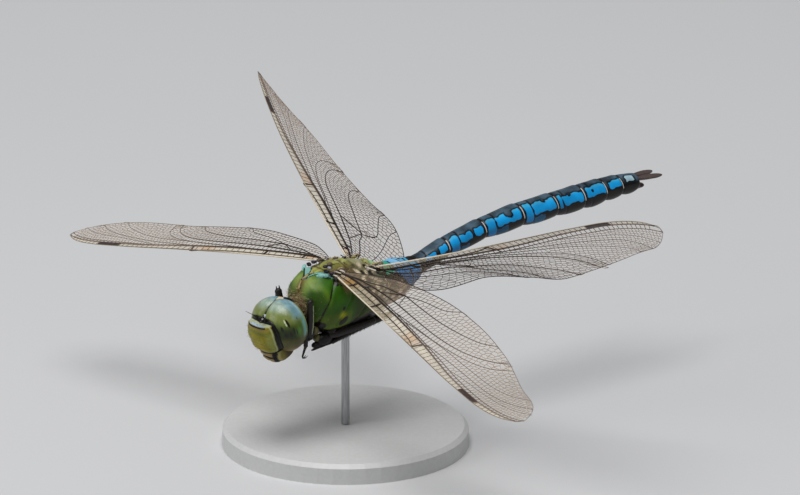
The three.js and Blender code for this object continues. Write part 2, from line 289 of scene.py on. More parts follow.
def coat(count, base, layers=()):
    """Rows of one colour, with layers of others washed over them."""
    return wash(np.tile(linear(base)[:3], (count, 1)), layers)


def soft(values, start, end):
    """0 before start, 1 after end, and a smooth step between; start may be the larger."""
    t = np.clip((values - start) / (end - start), 0, 1)
    return t * t * (3 - 2 * t)


def finished(bm, name, material, nodes=()):
    """Turns a bmesh drawn in body millimetres into a piece that rides on the frame."""
    bmesh.ops.transform(bm, matrix=BODY, verts=bm.verts)
    mesh = bpy.data.meshes.new(name)
    bm.to_mesh(mesh)
    bm.free()
    mesh.materials.append(material)
    mesh.polygons.foreach_set("use_smooth", [True] * len(mesh.polygons))
    piece = bpy.data.objects.new(name, mesh)
    bpy.context.scene.collection.objects.link(piece)
    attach(piece, "root")
    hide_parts(*nodes)
    print(f"{name}: {len(mesh.polygons)} faces")


def tubes(bm, lines, sides=6):
    """Adds a round tapering tube for each line, a row of (point, radius), and returns how many vertices."""
    before = len(bm.verts)
    curve = bpy.data.curves.new("lines", "CURVE")
    curve.dimensions = "3D"
    curve.bevel_depth = 1
    curve.bevel_resolution = (sides - 4) // 2
    curve.use_fill_caps = True
    for line in lines:
        spline = curve.splines.new("POLY")
        spline.points.add(len(line) - 1)
        for point, (place, radius) in zip(spline.points, line):
            point.co = (*place, 1)
            point.radius = radius
    holder = bpy.data.objects.new("lines", curve)
    bpy.context.scene.collection.objects.link(holder)
    mesh = bpy.data.meshes.new_from_object(holder)
    bm.from_mesh(mesh)
    bpy.data.objects.remove(holder)
    bpy.data.meshes.remove(mesh)
    bm.verts.ensure_lookup_table()
    return len(bm.verts) - before


def distance(points, path):
    """Distance of each point, in a plane, from a chain of straight steps."""
    best = np.full(len(points), 1e9)
    for a, b in zip(path, path[1:]):
        a, b = np.array(a, float), np.array(b, float)
        along = np.clip(((points - a) @ (b - a)) / ((b - a) @ (b - a)), 0, 1)
        best = np.minimum(best, np.linalg.norm(points - a - along[:, None] * (b - a), axis=1))
    return best


def rounded(path, steps=6):
    """A chain of points made smooth, on a curve that passes every one of them."""
    out = []
    for i in range(len(path) - 1):
        p = [np.array(path[min(max(k, 0), len(path) - 1)], float) for k in range(i - 1, i + 3)]
        for t in np.arange(steps) / steps:
            out.append(
                0.5 * (2 * p[1] + (p[2] - p[0]) * t + (2 * p[0] - 5 * p[1] + 4 * p[2] - p[3]) * t**2
                       + (3 * p[1] - p[0] - 3 * p[2] + p[3]) * t**3)
            )
    return out + [np.array(path[-1], float)]


def bell(d, width):
    """1 at distance 0 that fades to nothing over a few widths."""
    return np.exp(-((d / width) ** 2))

# %% [markdown]
# ## Wings
#
# A dragonfly's wing is a clear film held by a net of veins. A few strong veins run along it, and fine
# cross-veins part the film between them into cells: one row of boxes near the leading edge, and a crowd
# of five- and six-sided cells behind. Each wing is drawn flat first, as a place along the span and a
# distance behind the leading edge, and then laid on the curved, twisted surface that the wing has in this
# wingbeat. The surface is pleated: neighbouring strong veins lie on ridges and in furrows, which stiffens
# the wing.

# %% Wing shapes and poses
FORE = {
    "length": 50.93,
    # stations of [span, leading edge, trailing edge], as shares of the length
    "outline": [
        [0, 0, 0.028], [0.08, 0, 0.095], [0.15, 0, 0.14], [0.25, 0, 0.172],
        [0.45, 0, 0.206], [0.65, 0, 0.217],
        [0.83, 0.01, 0.198], [0.9, 0.022, 0.177], [0.95, 0.04, 0.15], [0.98, 0.06, 0.125], [1, 0.085, 0.1],
    ],
    # strong veins from front to back: radius at root and tip, lift on its pleat, and stations of
    # [span, mm behind the leading edge]. A vein starts on the one before it and ends on the trailing edge.
    "veins": {
        "subcosta": (0.1, 0.07, -0.12, [
            [0, 0.35], [0.04, 0.7], [0.1, 1.0], [0.2, 1.1], [0.35, 1.0], [0.45, 0.7], [0.495, 0],
        ]),
        "radius": (0.17, 0.09, 0.16, [
            [0, 0.75], [0.04, 1.4], [0.1, 1.75], [0.2, 1.95], [0.3, 1.95], [0.4, 1.85], [0.5, 1.7],
            [0.6, 1.35], [0.7, 1.05], [0.8, 0.95], [0.9, 0.85], [0.96, 0.55], [0.99, 0.1],
        ]),
        "sector_1": (0.09, 0.06, -0.1, [
            [0.12, 2.3], [0.2, 2.5], [0.3, 2.45], [0.4, 2.3], [0.5, 2.15], [0.6, 2.0], [0.7, 1.85],
            [0.8, 1.9], [0.9, 1.75], [0.97, 1.3], [1, 0.6],
        ]),
        "between_1": (0.05, 0.04, 0.04, [[0.66, 2.0], [0.75, 2.9], [0.85, 3.6], [0.93, 3.7], [0.98, 4]]),
        "sector_2": (0.07, 0.05, -0.07, [
            [0.5, 2.15], [0.6, 2.8], [0.7, 3.5], [0.8, 4.3], [0.9, 5.6], [0.95, 7],
        ]),
        "between_2": (0.06, 0.045, 0.08, [
            [0.36, 2.4], [0.45, 3.0], [0.55, 3.7], [0.65, 4.4], [0.75, 5.5], [0.83, 7.2], [0.88, 9.5],
        ]),
        "sector_3": (0.07, 0.05, -0.07, [
            [0.3, 2.5], [0.4, 2.95], [0.5, 3.5], [0.6, 4.8], [0.65, 6.0], [0.69, 8.0], [0.715, 12],
        ]),
        "media": (0.11, 0.055, 0.09, [
            [0.02, 0.9], [0.06, 2.0], [0.1, 2.6], [0.165, 3.2], [0.25, 3.65], [0.35, 3.8], [0.45, 4.1],
            [0.52, 4.6], [0.58, 5.5], [0.63, 7.0], [0.67, 9.2], [0.69, 12],
        ]),
        "cubitus": (0.1, 0.05, -0.07, [
            [0.02, 1.1], [0.05, 2.1], [0.1, 3.2], [0.15, 4.5], [0.2, 5.2], [0.235, 5.8], [0.3, 5.9],
            [0.4, 6.3], [0.5, 7.4], [0.57, 9.0], [0.62, 12],
        ]),
        "rear_cubitus": (0.07, 0.045, 0.05, [[0.235, 5.8], [0.3, 7.1], [0.38, 8.4], [0.44, 12]]),
    },
    "nodus": 0.495,
    "strong_cross_veins": [0.09, 0.23],
    "arculus": 0.12,
    "triangle": [[0.17, 3.25], [0.27, 3.7], [0.235, 5.8]],
    "stigma": (0.765, 0.845),
}
HIND = {
    "length": 49.43,
    "outline": [
        [0, 0, 0.06], [0.02, 0, 0.13], [0.05, 0, 0.2], [0.1, 0, 0.26], [0.16, 0, 0.295], [0.25, 0, 0.314],
        [0.42, 0, 0.305], [0.62, 0, 0.27], [0.8, 0.009, 0.222], [0.87, 0.02, 0.192], [0.93, 0.036, 0.16],
        [0.97, 0.055, 0.13], [1, 0.083, 0.097],
    ],
    "veins": {
        "subcosta": (0.1, 0.07, -0.12, [
            [0, 0.4], [0.05, 0.9], [0.15, 1.1], [0.3, 1.0], [0.38, 0.6], [0.42, 0],
        ]),
        "radius": (0.17, 0.09, 0.16, [
            [0, 0.9], [0.05, 1.6], [0.12, 2.05], [0.2, 2.1], [0.3, 2.05], [0.42, 1.85], [0.5, 1.65],
            [0.6, 1.35], [0.7, 1.1], [0.8, 1.0], [0.9, 0.85], [0.96, 0.5], [0.985, 0.1],
        ]),
        "sector_1": (0.09, 0.06, -0.1, [
            [0.11, 2.5], [0.2, 2.7], [0.3, 2.65], [0.4, 2.5], [0.5, 2.3], [0.6, 2.1], [0.7, 2.0],
            [0.8, 2.0], [0.9, 1.8], [0.97, 1.3], [1, 0.6],
        ]),
        "between_1": (0.05, 0.04, 0.04, [[0.62, 2.1], [0.72, 3.1], [0.82, 3.9], [0.92, 4.3], [0.975, 5]]),
        "sector_2": (0.07, 0.05, -0.07, [
            [0.46, 2.4], [0.56, 3.15], [0.66, 3.9], [0.76, 4.8], [0.86, 6.2], [0.93, 9],
        ]),
        "between_2": (0.06, 0.045, 0.08, [
            [0.34, 2.6], [0.45, 3.4], [0.55, 4.2], [0.65, 5.3], [0.74, 6.9], [0.82, 9.2], [0.86, 13],
        ]),
        "sector_3": (0.07, 0.05, -0.07, [
            [0.28, 2.7], [0.4, 3.5], [0.5, 4.4], [0.58, 5.9], [0.63, 7.9], [0.66, 10.2], [0.685, 15],
        ]),
        "media": (0.11, 0.055, 0.09, [
            [0.02, 1.1], [0.06, 2.2], [0.11, 3.1], [0.17, 3.9], [0.25, 4.3], [0.35, 4.5], [0.45, 5.1],
            [0.52, 6.3], [0.58, 8.3], [0.62, 10.8], [0.65, 15],
        ]),
        "cubitus": (0.1, 0.05, -0.07, [
            [0.02, 1.5], [0.06, 3.2], [0.1, 4.6], [0.15, 5.7], [0.2, 6.5], [0.245, 7.6], [0.3, 7.6],
            [0.38, 8.1], [0.46, 9.5], [0.52, 11.6], [0.57, 16],
        ]),
        "rear_cubitus": (0.08, 0.045, 0.05, [
            [0.245, 7.6], [0.25, 9.6], [0.27, 10.9], [0.32, 11.8], [0.38, 13.2], [0.44, 17],
        ]),
        "anal": (0.07, 0.045, -0.04, [
            [0.03, 2.4], [0.07, 5.2], [0.12, 7.6], [0.17, 9.6], [0.21, 11.0], [0.25, 12.2], [0.3, 13.8],
            [0.35, 17],
        ]),
    },
    "nodus": 0.42,
    "strong_cross_veins": [0.087, 0.22],
    "arculus": 0.11,
    "triangle": [[0.18, 4.0], [0.3, 4.4], [0.245, 7.6]],
    "stigma": (0.772, 0.845),
}
PITCH_AT = [0, 0.2, 0.35, 0.5, 0.65, 0.8, 1]  # shares of the span at which each wing's pitches are given
WINGS = {  # shape, side and hinge, then in degrees the forward sweep, rise, bend along the span, and pitches
    "fore_left": (
        FORE, 1, (1.9, -0.65, -0.4), 12.8, -6.3, -2.8, [3.5, 5.5, 7.5, 6, -1, -10.5, 0],
    ),
    "fore_right": (
        FORE, -1, (1.65, 0.7, 0), 14.1, -4.8, -5.4, [-4, -2.5, 0, -1.5, -3, 0, 3.5],
    ),
    "hind_left": (
        HIND, 1, (3.0, 5.6, -1.25), -20.9, 15.9, 5, [-42, -26.5, -31, -37.5, -38.5, -40.5, -61],
    ),
    "hind_right": (
        HIND, -1, (2.75, 5.7, -1.5), -21.8, 9.6, 14.5, [-43.5, -35, -30, -35, -39.5, -43.5, -54.5],
    ),
}


def wing_surface(shape, side, hinge, sweep, rise, bend, pitches):
    """A function that lays a point (span share, mm behind the hinge line, mm of lift) on the wing."""
    length = shape["length"]
    sweep, rise, bend = (math.radians(angle) for angle in (sweep, rise, bend))
    spanwise = Vector((math.cos(rise) * math.cos(sweep), -math.cos(rise) * math.sin(sweep), math.sin(rise)))
    chordwise = (Vector((0, 1, 0)) - spanwise * spanwise.y).normalized()
    upward = spanwise.cross(chordwise)
    table = list(zip(PITCH_AT, pitches))

    def lay(span, chord, lift=0.0):
        turn = bend * span
        up = upward * math.cos(turn) - spanwise * math.sin(turn)
        pitch = math.radians(smooth(table, 1, span))
        point = Vector(hinge)
        point += (spanwise * math.sin(turn) + upward * (1 - math.cos(turn))) * length / bend
        point += (chordwise * math.cos(pitch) + up * math.sin(pitch)) * chord
        point += (up * math.cos(pitch) - chordwise * math.sin(pitch)) * lift
        return Vector((point.x * side, point.y, point.z))

    return lay


# %% [markdown]
# A wing's strips lie between neighbouring strong veins. A vein that hasn't started yet lies on the one
# before it, and one that has ended lies on the trailing edge, so a strip may open or close along the span
# and the same few lines of code fill them all.

# %% Veins in the flat wing
ENDS_BEHIND = 3.0  # a last station farther back than this means that the vein runs into the trailing edge
EASE = 0.03  # share of the span over which a new vein leaves the height of the one it starts on
EDGE_LIFT = 0.12  # mm; the leading edge lies on a ridge of the pleats
SPANS = np.linspace(0, 1, 501)  # the lines are worked out here once, and read between


def wing_lines(shape):
    """Functions of the span for each line, front to back: mm behind the hinge line, and mm of lift."""
    length = shape["length"]

    def lead(s):
        return smooth(shape["outline"], 1, s) * length, EDGE_LIFT * (1 - 0.5 * s)

    def trail(s):
        return smooth(shape["outline"], 2, s) * length, 0.0

    def vein(stations, lift, before):
        first, last = stations[0][0], stations[-1][0]

        def line(s):
            if s <= first:
                return before(s)
            if s > last:
                return trail(s) if stations[-1][1] > ENDS_BEHIND else before(s)
            ahead, height = before(s)
            share = min(1, (s - first) / EASE)
            place = min(max(lead(s)[0] + smooth(stations, 1, s), ahead), trail(s)[0])
            return place, height * (1 - share) + lift * (1 - 0.5 * s) * share
        return line

    lines = [lead]
    for _, _, lift, stations in shape["veins"].values():
        lines.append(vein(stations, lift, lines[-1]))
    lines.append(trail)
    return [sampled(line) for line in lines]


def sampled(line):
    places, lifts = np.array([line(s) for s in SPANS]).T
    return lambda s: (np.interp(s, SPANS, places), np.interp(s, SPANS, lifts))


# %% [markdown]
# Each cell is the ground nearest to its own seed, as froth or dried mud divides. A square of film is cut
# along the middle line to each neighbouring seed and along the two strong veins, and what is left is the
# cell. Seeds in single file give the ladder of the leading edge; staggered rows give the honeycomb of the
# rear field.

# %% Cells
ROW = 0.78  # mm between rows of cells in the rear field
REAR_STEP = 0.7  # mm between cells along a row there
LADDER_STEP = {0: 0.95, 1: 1.0, 2: 0.9}  # mm between cross-veins in the first three strips
NARROW = 0.28  # mm: a strip thinner than this has no cells yet
MOST_ROWS = 40
WOBBLE, LANE_WOBBLE = 0.13, 0.1  # how far a seed strays, as a share of its step and of its row
NEAR = 3.2  # seeds more steps away than this can't bound a cell
SMALLEST = 0.04  # square mm; a smaller scrap of film is left out
LADDER_RIM, REAR_RIM = 0.042, 0.025  # mm; half the width of a cross-vein


def seeds_of(front, rear, step, single, length, rng):
    """Seeds in the strip between two lines, in rows along it, with every other row shifted by half a step."""
    seeds = []
    for column in range(1, int(length / step)):
        for row in range(MOST_ROWS):
            shift = 0.5 * (row % 2) + (0 if single else rng.uniform(-WOBBLE, WOBBLE))
            share = (column + shift) * step / length
            x = length * (1.25 * share - 0.25 * share**2)  # wider near the root, closer near the tip
            if x > length - 0.15:
                break
            low, high = front(x / length)[0], rear(x / length)[0]
            row_width = ROW * (1.2 - 0.3 * share)
            rows = 1 if single else max(1, round((high - low) / row_width))
            if row >= rows or high - low < NARROW:
                break
            lane = row + 0.5 + (0 if rows < 2 else rng.uniform(-LANE_WOBBLE, LANE_WOBBLE))
            seeds.append(np.array([x, low + (high - low) * lane / rows]))
    return seeds


def cell_between(seed, others, front, rear, step, length):
    """The face of one cell, as a small bmesh: a square cut by each plane that bounds the cell."""
    cuts = []
    for other in others:
        reach = other - seed
        if 0 < reach @ reach < (NEAR * step) ** 2:
            cuts.append(((seed + other) / 2, reach))
    x = seed[0]
    for line, outward in ((front, -1), (rear, 1)):
        left, right = max(x - step / 2, 0), min(x + step / 2, length)
        a, b = (left, line(left / length)[0]), (right, line(right / length)[0])
        cuts.append((a, np.array([a[1] - b[1], b[0] - a[0]]) * outward))
    cuts.append(((length, 0), np.array([1.0, 0])))
    cell = bmesh.new()
    bmesh.ops.create_grid(cell, x_segments=1, y_segments=1, size=2 * step)
    bmesh.ops.translate(cell, vec=(*seed, 0), verts=cell.verts)
    for point, outward in cuts:
        geometry = cell.verts[:] + cell.edges[:] + cell.faces[:]
        bmesh.ops.bisect_plane(
            cell, geom=geometry, dist=1e-5, plane_co=(*point, 0), plane_no=(*outward, 0), clear_outer=True
        )
    return cell


def append(bm, part):
    """Adds a copy of one bmesh to another."""
    mesh = bpy.data.meshes.new("part")
    part.to_mesh(mesh)
    bm.from_mesh(mesh)
    bpy.data.meshes.remove(mesh)


def add_cell(film, net, cell, tinted, ladder):
    """Adds a cell's face to the film and its narrow rim to the net, with marks kept as material numbers."""
    for face in cell.faces:
        face.material_index = int(tinted)
    append(film, cell)
    width = LADDER_RIM if ladder else REAR_RIM
    rim = bmesh.ops.inset_individual(
        cell, faces=cell.faces[:], thickness=width, use_even_offset=True
    )["faces"]
    for face in cell.faces:
        face.material_index = int(ladder)
    middle = [face for face in cell.faces if face not in set(rim)]
    bmesh.ops.delete(cell, geom=middle, context="FACES")
    append(net, cell)


def wing_cells(shape, seed):
    """The wing's film as cells, with the amber ones marked, and its net as the narrow rims of those cells."""
    rng = random.Random(seed)
    length = shape["length"]
    lines = wing_lines(shape)
    film, net = bmesh.new(), bmesh.new()
    for strip, (front, rear) in enumerate(zip(lines, lines[1:])):
        single = strip in LADDER_STEP
        step = LADDER_STEP.get(strip, REAR_STEP)
        seeds = seeds_of(front, rear, step, single, length, rng)
        spots = np.array(seeds) if seeds else np.zeros((0, 2))
        for spot in seeds:
            near = spots[np.abs(spots[:, 0] - spot[0]) < NEAR * step]
            cell = cell_between(spot, near, front, rear, step, length)
            if cell.faces and sum(face.calc_area() for face in cell.faces) > SMALLEST:
                tinted = strip < 2 or (strip < 4 and spot[0] / length < 0.06)
                add_cell(film, net, cell, tinted, single)
            cell.free()
    bmesh.ops.remove_doubles(film, verts=film.verts, dist=0.01)
    bmesh.ops.remove_doubles(net, verts=net.verts, dist=0.01)
    print("cells:", len(film.faces), "rim faces:", len(net.faces))
    return film, net


# %% [markdown]
# The flat cells are now laid on the wing's surface, and the strong veins follow as round tapering tubes.
# The film gets a little thickness and bulges slightly in every cell, so the light catches each one
# differently.

# %% Materials of the wing
# the leading edge's cream is partly the vein's own colour and partly a painted highlight along its lit crest
VEIN_DARK, VEIN_CREAM_AND_HIGHLIGHT, VEIN_TAN = 0x2A201C, 0xDCD0BA, 0x75664F
NET_BROWN, NET_PALE = 0x5A4A40, 0xA39080
CLEAR, CREAM, AMBER = 0xDCC6A8, 0xE3D5B8, 0xD8A75E  # film: most of it, at the leading edge, in amber cells
CHITIN_IOR = 1.56

# tanned chitin: hard, brown to black, a soft gloss
vein_material, tree, shader = new_material("vein_cuticle")
place = add(tree, "ShaderNodeTexCoord")
ground = add(tree, "ShaderNodeAttribute", attribute_name="Ground")
mottle = add(
    tree, "ShaderNodeTexNoise", {"Vector": place.outputs["Object"], "Scale": 2500.0, "Detail": 2.0}
)
shade = add(tree, "ShaderNodeMapRange", {0: mottle.outputs["Fac"], 3: 0.75, 4: 1.25})
tint = add(
    tree, "ShaderNodeMix", {0: 1.0, 6: ground.outputs["Color"], 7: shade.outputs[0]},
    data_type="RGBA", blend_type="MULTIPLY",
)
tree.links.new(tint.outputs[2], shader.inputs["Base Color"])
shader.inputs["Roughness"].default_value = 0.4
shader.inputs["IOR"].default_value = CHITIN_IOR
shader.inputs["Specular IOR Level"].default_value = 0.25  # wax and fine hairs dull it


def film_material(name, alpha):
    """Wing film: thin chitin with a smoky or amber tint, uneven like cellophane, and quite glossy."""
    material, tree, shader = new_material(name)
    place = add(tree, "ShaderNodeTexCoord")
    ground = add(tree, "ShaderNodeAttribute", attribute_name="Ground")
    cloud = add(
        tree, "ShaderNodeTexNoise", {"Vector": place.outputs["Object"], "Scale": 260.0, "Detail": 3.0}
    )
    shade = add(tree, "ShaderNodeMapRange", {0: cloud.outputs["Fac"], 1: 0.3, 2: 0.7, 3: 0.85, 4: 1.1})
    tint = add(
        tree, "ShaderNodeMix", {0: 1.0, 6: ground.outputs["Color"], 7: shade.outputs[0]},
        data_type="RGBA", blend_type="MULTIPLY",
    )
    tree.links.new(tint.outputs[2], shader.inputs["Base Color"])
    ripple = add(
        tree, "ShaderNodeTexNoise", {"Vector": place.outputs["Object"], "Scale": 1400.0, "Detail": 2.0}
    )
    bump = add(
        tree, "ShaderNodeBump", {"Height": ripple.outputs["Fac"], "Strength": 0.35, "Distance": 0.0001}
    )
    tree.links.new(bump.outputs["Normal"], shader.inputs["Normal"])
    shader.inputs["Roughness"].default_value = 0.22
    shader.inputs["IOR"].default_value = CHITIN_IOR
    shader.inputs["Alpha"].default_value = alpha
    return material


clear_film = film_material("clear_wing_film", 0.1)
amber_film = film_material("amber_wing_film", 0.34)

# a thick blood-filled cell: leathery brown
stigma_material, tree, shader = new_material("stigma_cuticle")
place = add(tree, "ShaderNodeTexCoord")
grain = add(
    tree, "ShaderNodeTexNoise", {"Vector": place.outputs["Object"], "Scale": 1800.0, "Detail": 4.0}
)
leather = [(0.3, 0x2A1E1C), (0.75, 0x4E3C36)]
tint = add(tree, "ShaderNodeValToRGB", {"Fac": grain.outputs["Fac"]}, stops=leather)
tree.links.new(tint.outputs["Color"], shader.inputs["Base Color"])
bump = add(tree, "ShaderNodeBump", {"Height": grain.outputs["Fac"], "Strength": 0.4, "Distance": 0.0001})
tree.links.new(bump.outputs["Normal"], shader.inputs["Normal"])
shader.inputs["Roughness"].default_value = 0.45

# %% Lay the cells and veins
NET_THICKNESS = 0.06  # mm; the net stands proud of the film on both faces
FILM_THICKNESS = 0.02
STIGMA_THICKNESS = 0.18
CELL_BULGE = 0.03  # mm
TRUNK_ENDS = 20  # no wing touches the body farther back than this
GROWN_IN = 0.9  # how far into the trunk's section a wing reaches before it is dropped
AMBER_AT, AMBER_WIDTH = (0.07, 0.45), 0.03  # shares of the span round which the leading cells are amber


def trunk_section(y):
    """Centre height, half width and half height of the trunk at y."""
    if y > ABDOMEN[0][0]:
        return tuple(smooth(ABDOMEN, column, y) for column in (1, 2, 3))
    top, bottom, half_width = (smooth(THORAX, column, y) for column in (1, 2, 3))
    return (top + bottom) / 2, half_width, (top - bottom) / 2


def in_trunk(point):
    """Whether a point of a wing lies in the body, where the wing has grown into it."""
    if point.y > TRUNK_ENDS:
        return False
    centre, half_width, half_height = trunk_section(point.y)
    return (point.x / half_width) ** 2 + ((point.z - centre) / half_height) ** 2 < GROWN_IN


def thicken(bm, thickness):
    """Gives a flat sheet a back, this far under it, and walls."""
    copied = bmesh.ops.extrude_face_region(bm, geom=bm.faces[:], use_keep_orig=True)["geom"]
    below = [part for part in copied if isinstance(part, bmesh.types.BMVert)]
    bmesh.ops.translate(bm, vec=(0, 0, -thickness), verts=below)


def lay_flat(bm, shape, lines, lay):
    """Lays a flat bmesh on the wing's surface and drops the faces that would be inside the body."""
    spans = np.clip(places(bm)[:, 0] / shape["length"], 0, 1)
    chords, lifts = (np.array(rows).T for rows in zip(*(line(spans) for line in lines)))
    for vertex, span, chord, lift in zip(bm.verts, spans, chords, lifts):
        vertex.co = lay(span, vertex.co.y, np.interp(vertex.co.y, chord, lift) + vertex.co.z)
    hidden = [face for face in bm.faces if all(in_trunk(vertex.co) for vertex in face.verts)]
    bmesh.ops.delete(bm, geom=hidden, context="FACES")
    bmesh.ops.recalc_face_normals(bm, faces=bm.faces[:])


def vein_paths(shape, lines, lay):
    """The strong veins as rows of (point, radius), each with its colour."""
    paths = []

    def along(line, start, end, wide, fine, colour):
        steps = max(2, round((end - start) * 160))
        row = []
        for span in np.linspace(start, end, steps):
            place, lift = line(span)
            if line is not lines[0] and place > lines[-1](span)[0] and line is not lines[-1]:
                break
            row.append((lay(span, place, lift), wide + (fine - wide) * span))
        paths.append((row, colour))

    def across(start, front, end, rear, radius):
        a, b = lay(start, *lines[front](start)), lay(end, *lines[rear](end))
        paths.append(([(a, radius), ((a + b) / 2, radius * 0.9), (b, radius)], VEIN_DARK))

    along(lines[0], 0, 1, 0.13, 0.035, VEIN_CREAM_AND_HIGHLIGHT)
    along(lines[-1], 0, 1, 0.07, 0.035, VEIN_DARK)
    paths.append(([(lay(1, *lines[k](1)), 0.035) for k in (0, -1)], VEIN_DARK))
    for line, (wide, fine, _, stations) in zip(lines[1:], shape["veins"].values()):
        along(line, stations[0][0], min(stations[-1][0], 1), wide, fine, VEIN_DARK)
    nodus = shape["nodus"]
    across(nodus - 0.006, 0, nodus + 0.006, 2, 0.13)
    across(nodus + 0.006, 2, nodus + 0.02, 3, 0.08)
    for span in shape["strong_cross_veins"]:
        across(span, 0, span + 0.004, 2, 0.11)
    media = 2 + list(shape["veins"]).index("media") - 1
    across(shape["arculus"], 2, shape["arculus"] + 0.012, media, 0.1)
    corners = [lay(span, lines[0](span)[0] + place, 0.05) for span, place in shape["triangle"]]
    paths.append(([(corner, 0.08) for corner in corners + corners[:1]], VEIN_DARK))
    for span in shape["stigma"]:
        across(span, 0, span + 0.006, 2, 0.08)
    return paths


def veined(net, shape, lines, lay):
    """Adds the strong veins to the net and paints it, paler towards the tip."""
    colours = list(coat(len(net.verts), NET_BROWN))
    kinds = [0] * len(colours)  # 0 for the net, 1 for dark veins, 2 for the cream one at the leading edge, partly a painted highlight
    for face in net.faces:
        if face.material_index:
            face.material_index = 0
            for vertex in face.verts:
                kinds[vertex.index] = 1
    for row, colour in vein_paths(shape, lines, lay):
        row = [step for step in row if not in_trunk(step[0])]
        if len(row) > 1:
            count = tubes(net, [row])
            colours += [linear(colour)[:3]] * count
            kinds += [2 if colour == VEIN_CREAM_AND_HIGHLIGHT else 1] * count
    kinds, outward = np.array(kinds), np.abs(places(net)[:, 0])
    fading = soft(outward, 12, 40) * np.array([1, 0.5, 0.2])[kinds]
    layers = [(VEIN_TAN, (kinds == 2) * soft(outward, 14, 26)), (NET_PALE, fading)]
    paint(net, "Ground", wash(np.array(colours), layers))


def only_marked(film, mark):
    """Keeps the faces of the film that bear this mark, and clears the mark."""
    others = [face for face in film.faces if face.material_index != mark]
    bmesh.ops.delete(film, geom=others, context="FACES")
    for face in film.faces:
        face.material_index = 0


def stigma_cell(shape, lines, lay):
    """The thick dark cell near the wing's tip, between the leading edge and the radius."""
    cell = bmesh.new()
    start, end = shape["stigma"]
    bmesh.ops.create_grid(cell, x_segments=24, y_segments=4, size=0.5)
    for vertex in cell.verts:
        along = 2 * vertex.co.x
        span = start + (end - start) * (along + 1) / 2
        (front, _), (rear, _) = lines[0](span), lines[2](span)
        taper = 1 - 0.15 * along**4
        middle, half = (front + rear) / 2, (rear - front) / 2
        behind = middle + 1.7 * vertex.co.y * half * taper  # leaves a little film before and behind it
        vertex.co = (span * shape["length"], behind, STIGMA_THICKNESS / 2)
    thicken(cell, STIGMA_THICKNESS)
    lay_flat(cell, shape, lines, lay)
    return cell


def build_wing(name, seed):
    """Film, net, veins and stigma of one wing, laid on its surface and finished."""
    shape, side, *pose = WINGS[name]
    lay = wing_surface(shape, side, *pose)
    lines = wing_lines(shape)
    film, net = wing_cells(shape, seed)
    bmesh.ops.poke(film, faces=film.faces[:], offset=CELL_BULGE)
    spans = places(film)[:, 0] / shape["length"]
    amber_share = np.max([bell(spans - at, AMBER_WIDTH) for at in AMBER_AT], axis=0)
    paint(film, "Ground", coat(len(spans), CREAM, [(AMBER, amber_share)]))
    for part, thickness in ((net, NET_THICKNESS), (film, FILM_THICKNESS)):
        bmesh.ops.translate(part, vec=(0, 0, thickness / 2), verts=part.verts)
        thicken(part, thickness)
        lay_flat(part, shape, lines, lay)
    veined(net, shape, lines, lay)
    finished(net, f"veins_{name}", vein_material, [f"wing_{name}"])
    amber = film.copy()
    only_marked(film, 0)
    only_marked(amber, 1)
    paint(film, "Ground", coat(len(film.verts), CLEAR))
    finished(film, f"film_{name}", clear_film)
    finished(amber, f"amber_film_{name}", amber_film)
    finished(stigma_cell(shape, lines, lay), f"stigma_{name}", stigma_material)


for number, name in enumerate(WINGS):
    build_wing(name, number)

# %% [markdown]
# ## Trunk
#
# Neck, thorax and abdomen are one hard skin of linked plates. A flat grid is rolled into a tube whose
# section changes along the body, which keeps the plates' edges free to be drawn anywhere. Seams press
# into it and keels rise from it by small heights along its normals, and the markings are painted as
# distances in mm to their edges, so that the material can draw each edge crisp and a little ragged, as
# pigment in cuticle is.

# %% Roll the trunk
AROUND, ROWS = 128, 460
SQUARENESS = 2.15  # of the thorax's section; 2 is an ellipse
TRUNK_FROM, TRUNK_TO = THORAX[0][0], ABDOMEN[-1][0]

along_y = np.linspace(TRUNK_FROM, TRUNK_TO, 4000)
sections = np.array([trunk_section(y) for y in along_y])
girth = (sections[:, 1] + sections[:, 2]) / 2
steps = np.hypot(np.diff(along_y), np.diff(girth))
walked = np.concatenate([[0], np.cumsum(steps)])  # distance along the skin, so steep fronts get rows too

trunk = bmesh.new()
bmesh.ops.create_grid(trunk, x_segments=AROUND, y_segments=ROWS, size=0.5)
flat = places(trunk) + 0.5
ys = np.interp(flat[:, 1] * walked[-1], walked, along_y)
centre, half_width, half_height = (np.interp(ys, along_y, sections[:, k]) for k in range(3))
turn = flat[:, 0] * 2 * np.pi
across, upright = np.sin(turn), -np.cos(turn)
square = np.where(ys < ABDOMEN[0][0], SQUARENESS, 2.0)
reach = (np.abs(across) ** square + np.abs(upright) ** square) ** (-1 / square)
reach *= (flat[:, 1] > 1e-6) & (flat[:, 1] < 1 - 1e-6)  # both ends close to a point
move_to(trunk, np.stack([across * reach * half_width, ys, centre + upright * reach * half_height], 1))
bmesh.ops.remove_doubles(trunk, verts=trunk.verts, dist=1e-4)
bmesh.ops.recalc_face_normals(trunk, faces=trunk.faces[:])
trunk.normal_update()

skin = places(trunk)
x, y, z = skin.T
centre, half_width, half_height = (np.interp(y, along_y, sections[:, k]) for k in range(3))
from_top = np.abs(np.arctan2(x / half_width, (z - centre) / half_height))  # 0 on the back, pi on the belly
radius = (half_width + half_height) / 2
arc = from_top * radius  # mm round from the middle of the back
print("trunk:", len(trunk.verts), "vertices")

# %% [markdown]
# The thorax carries the wings and legs. Its front is two swollen shields with a keel between them, its
# flanks are parted by slanting seams, and its roof between the wings is a row of low bosses. The lines
# are few points in the side view (Y, Z) or the top view (X, Y), rounded by a curve.

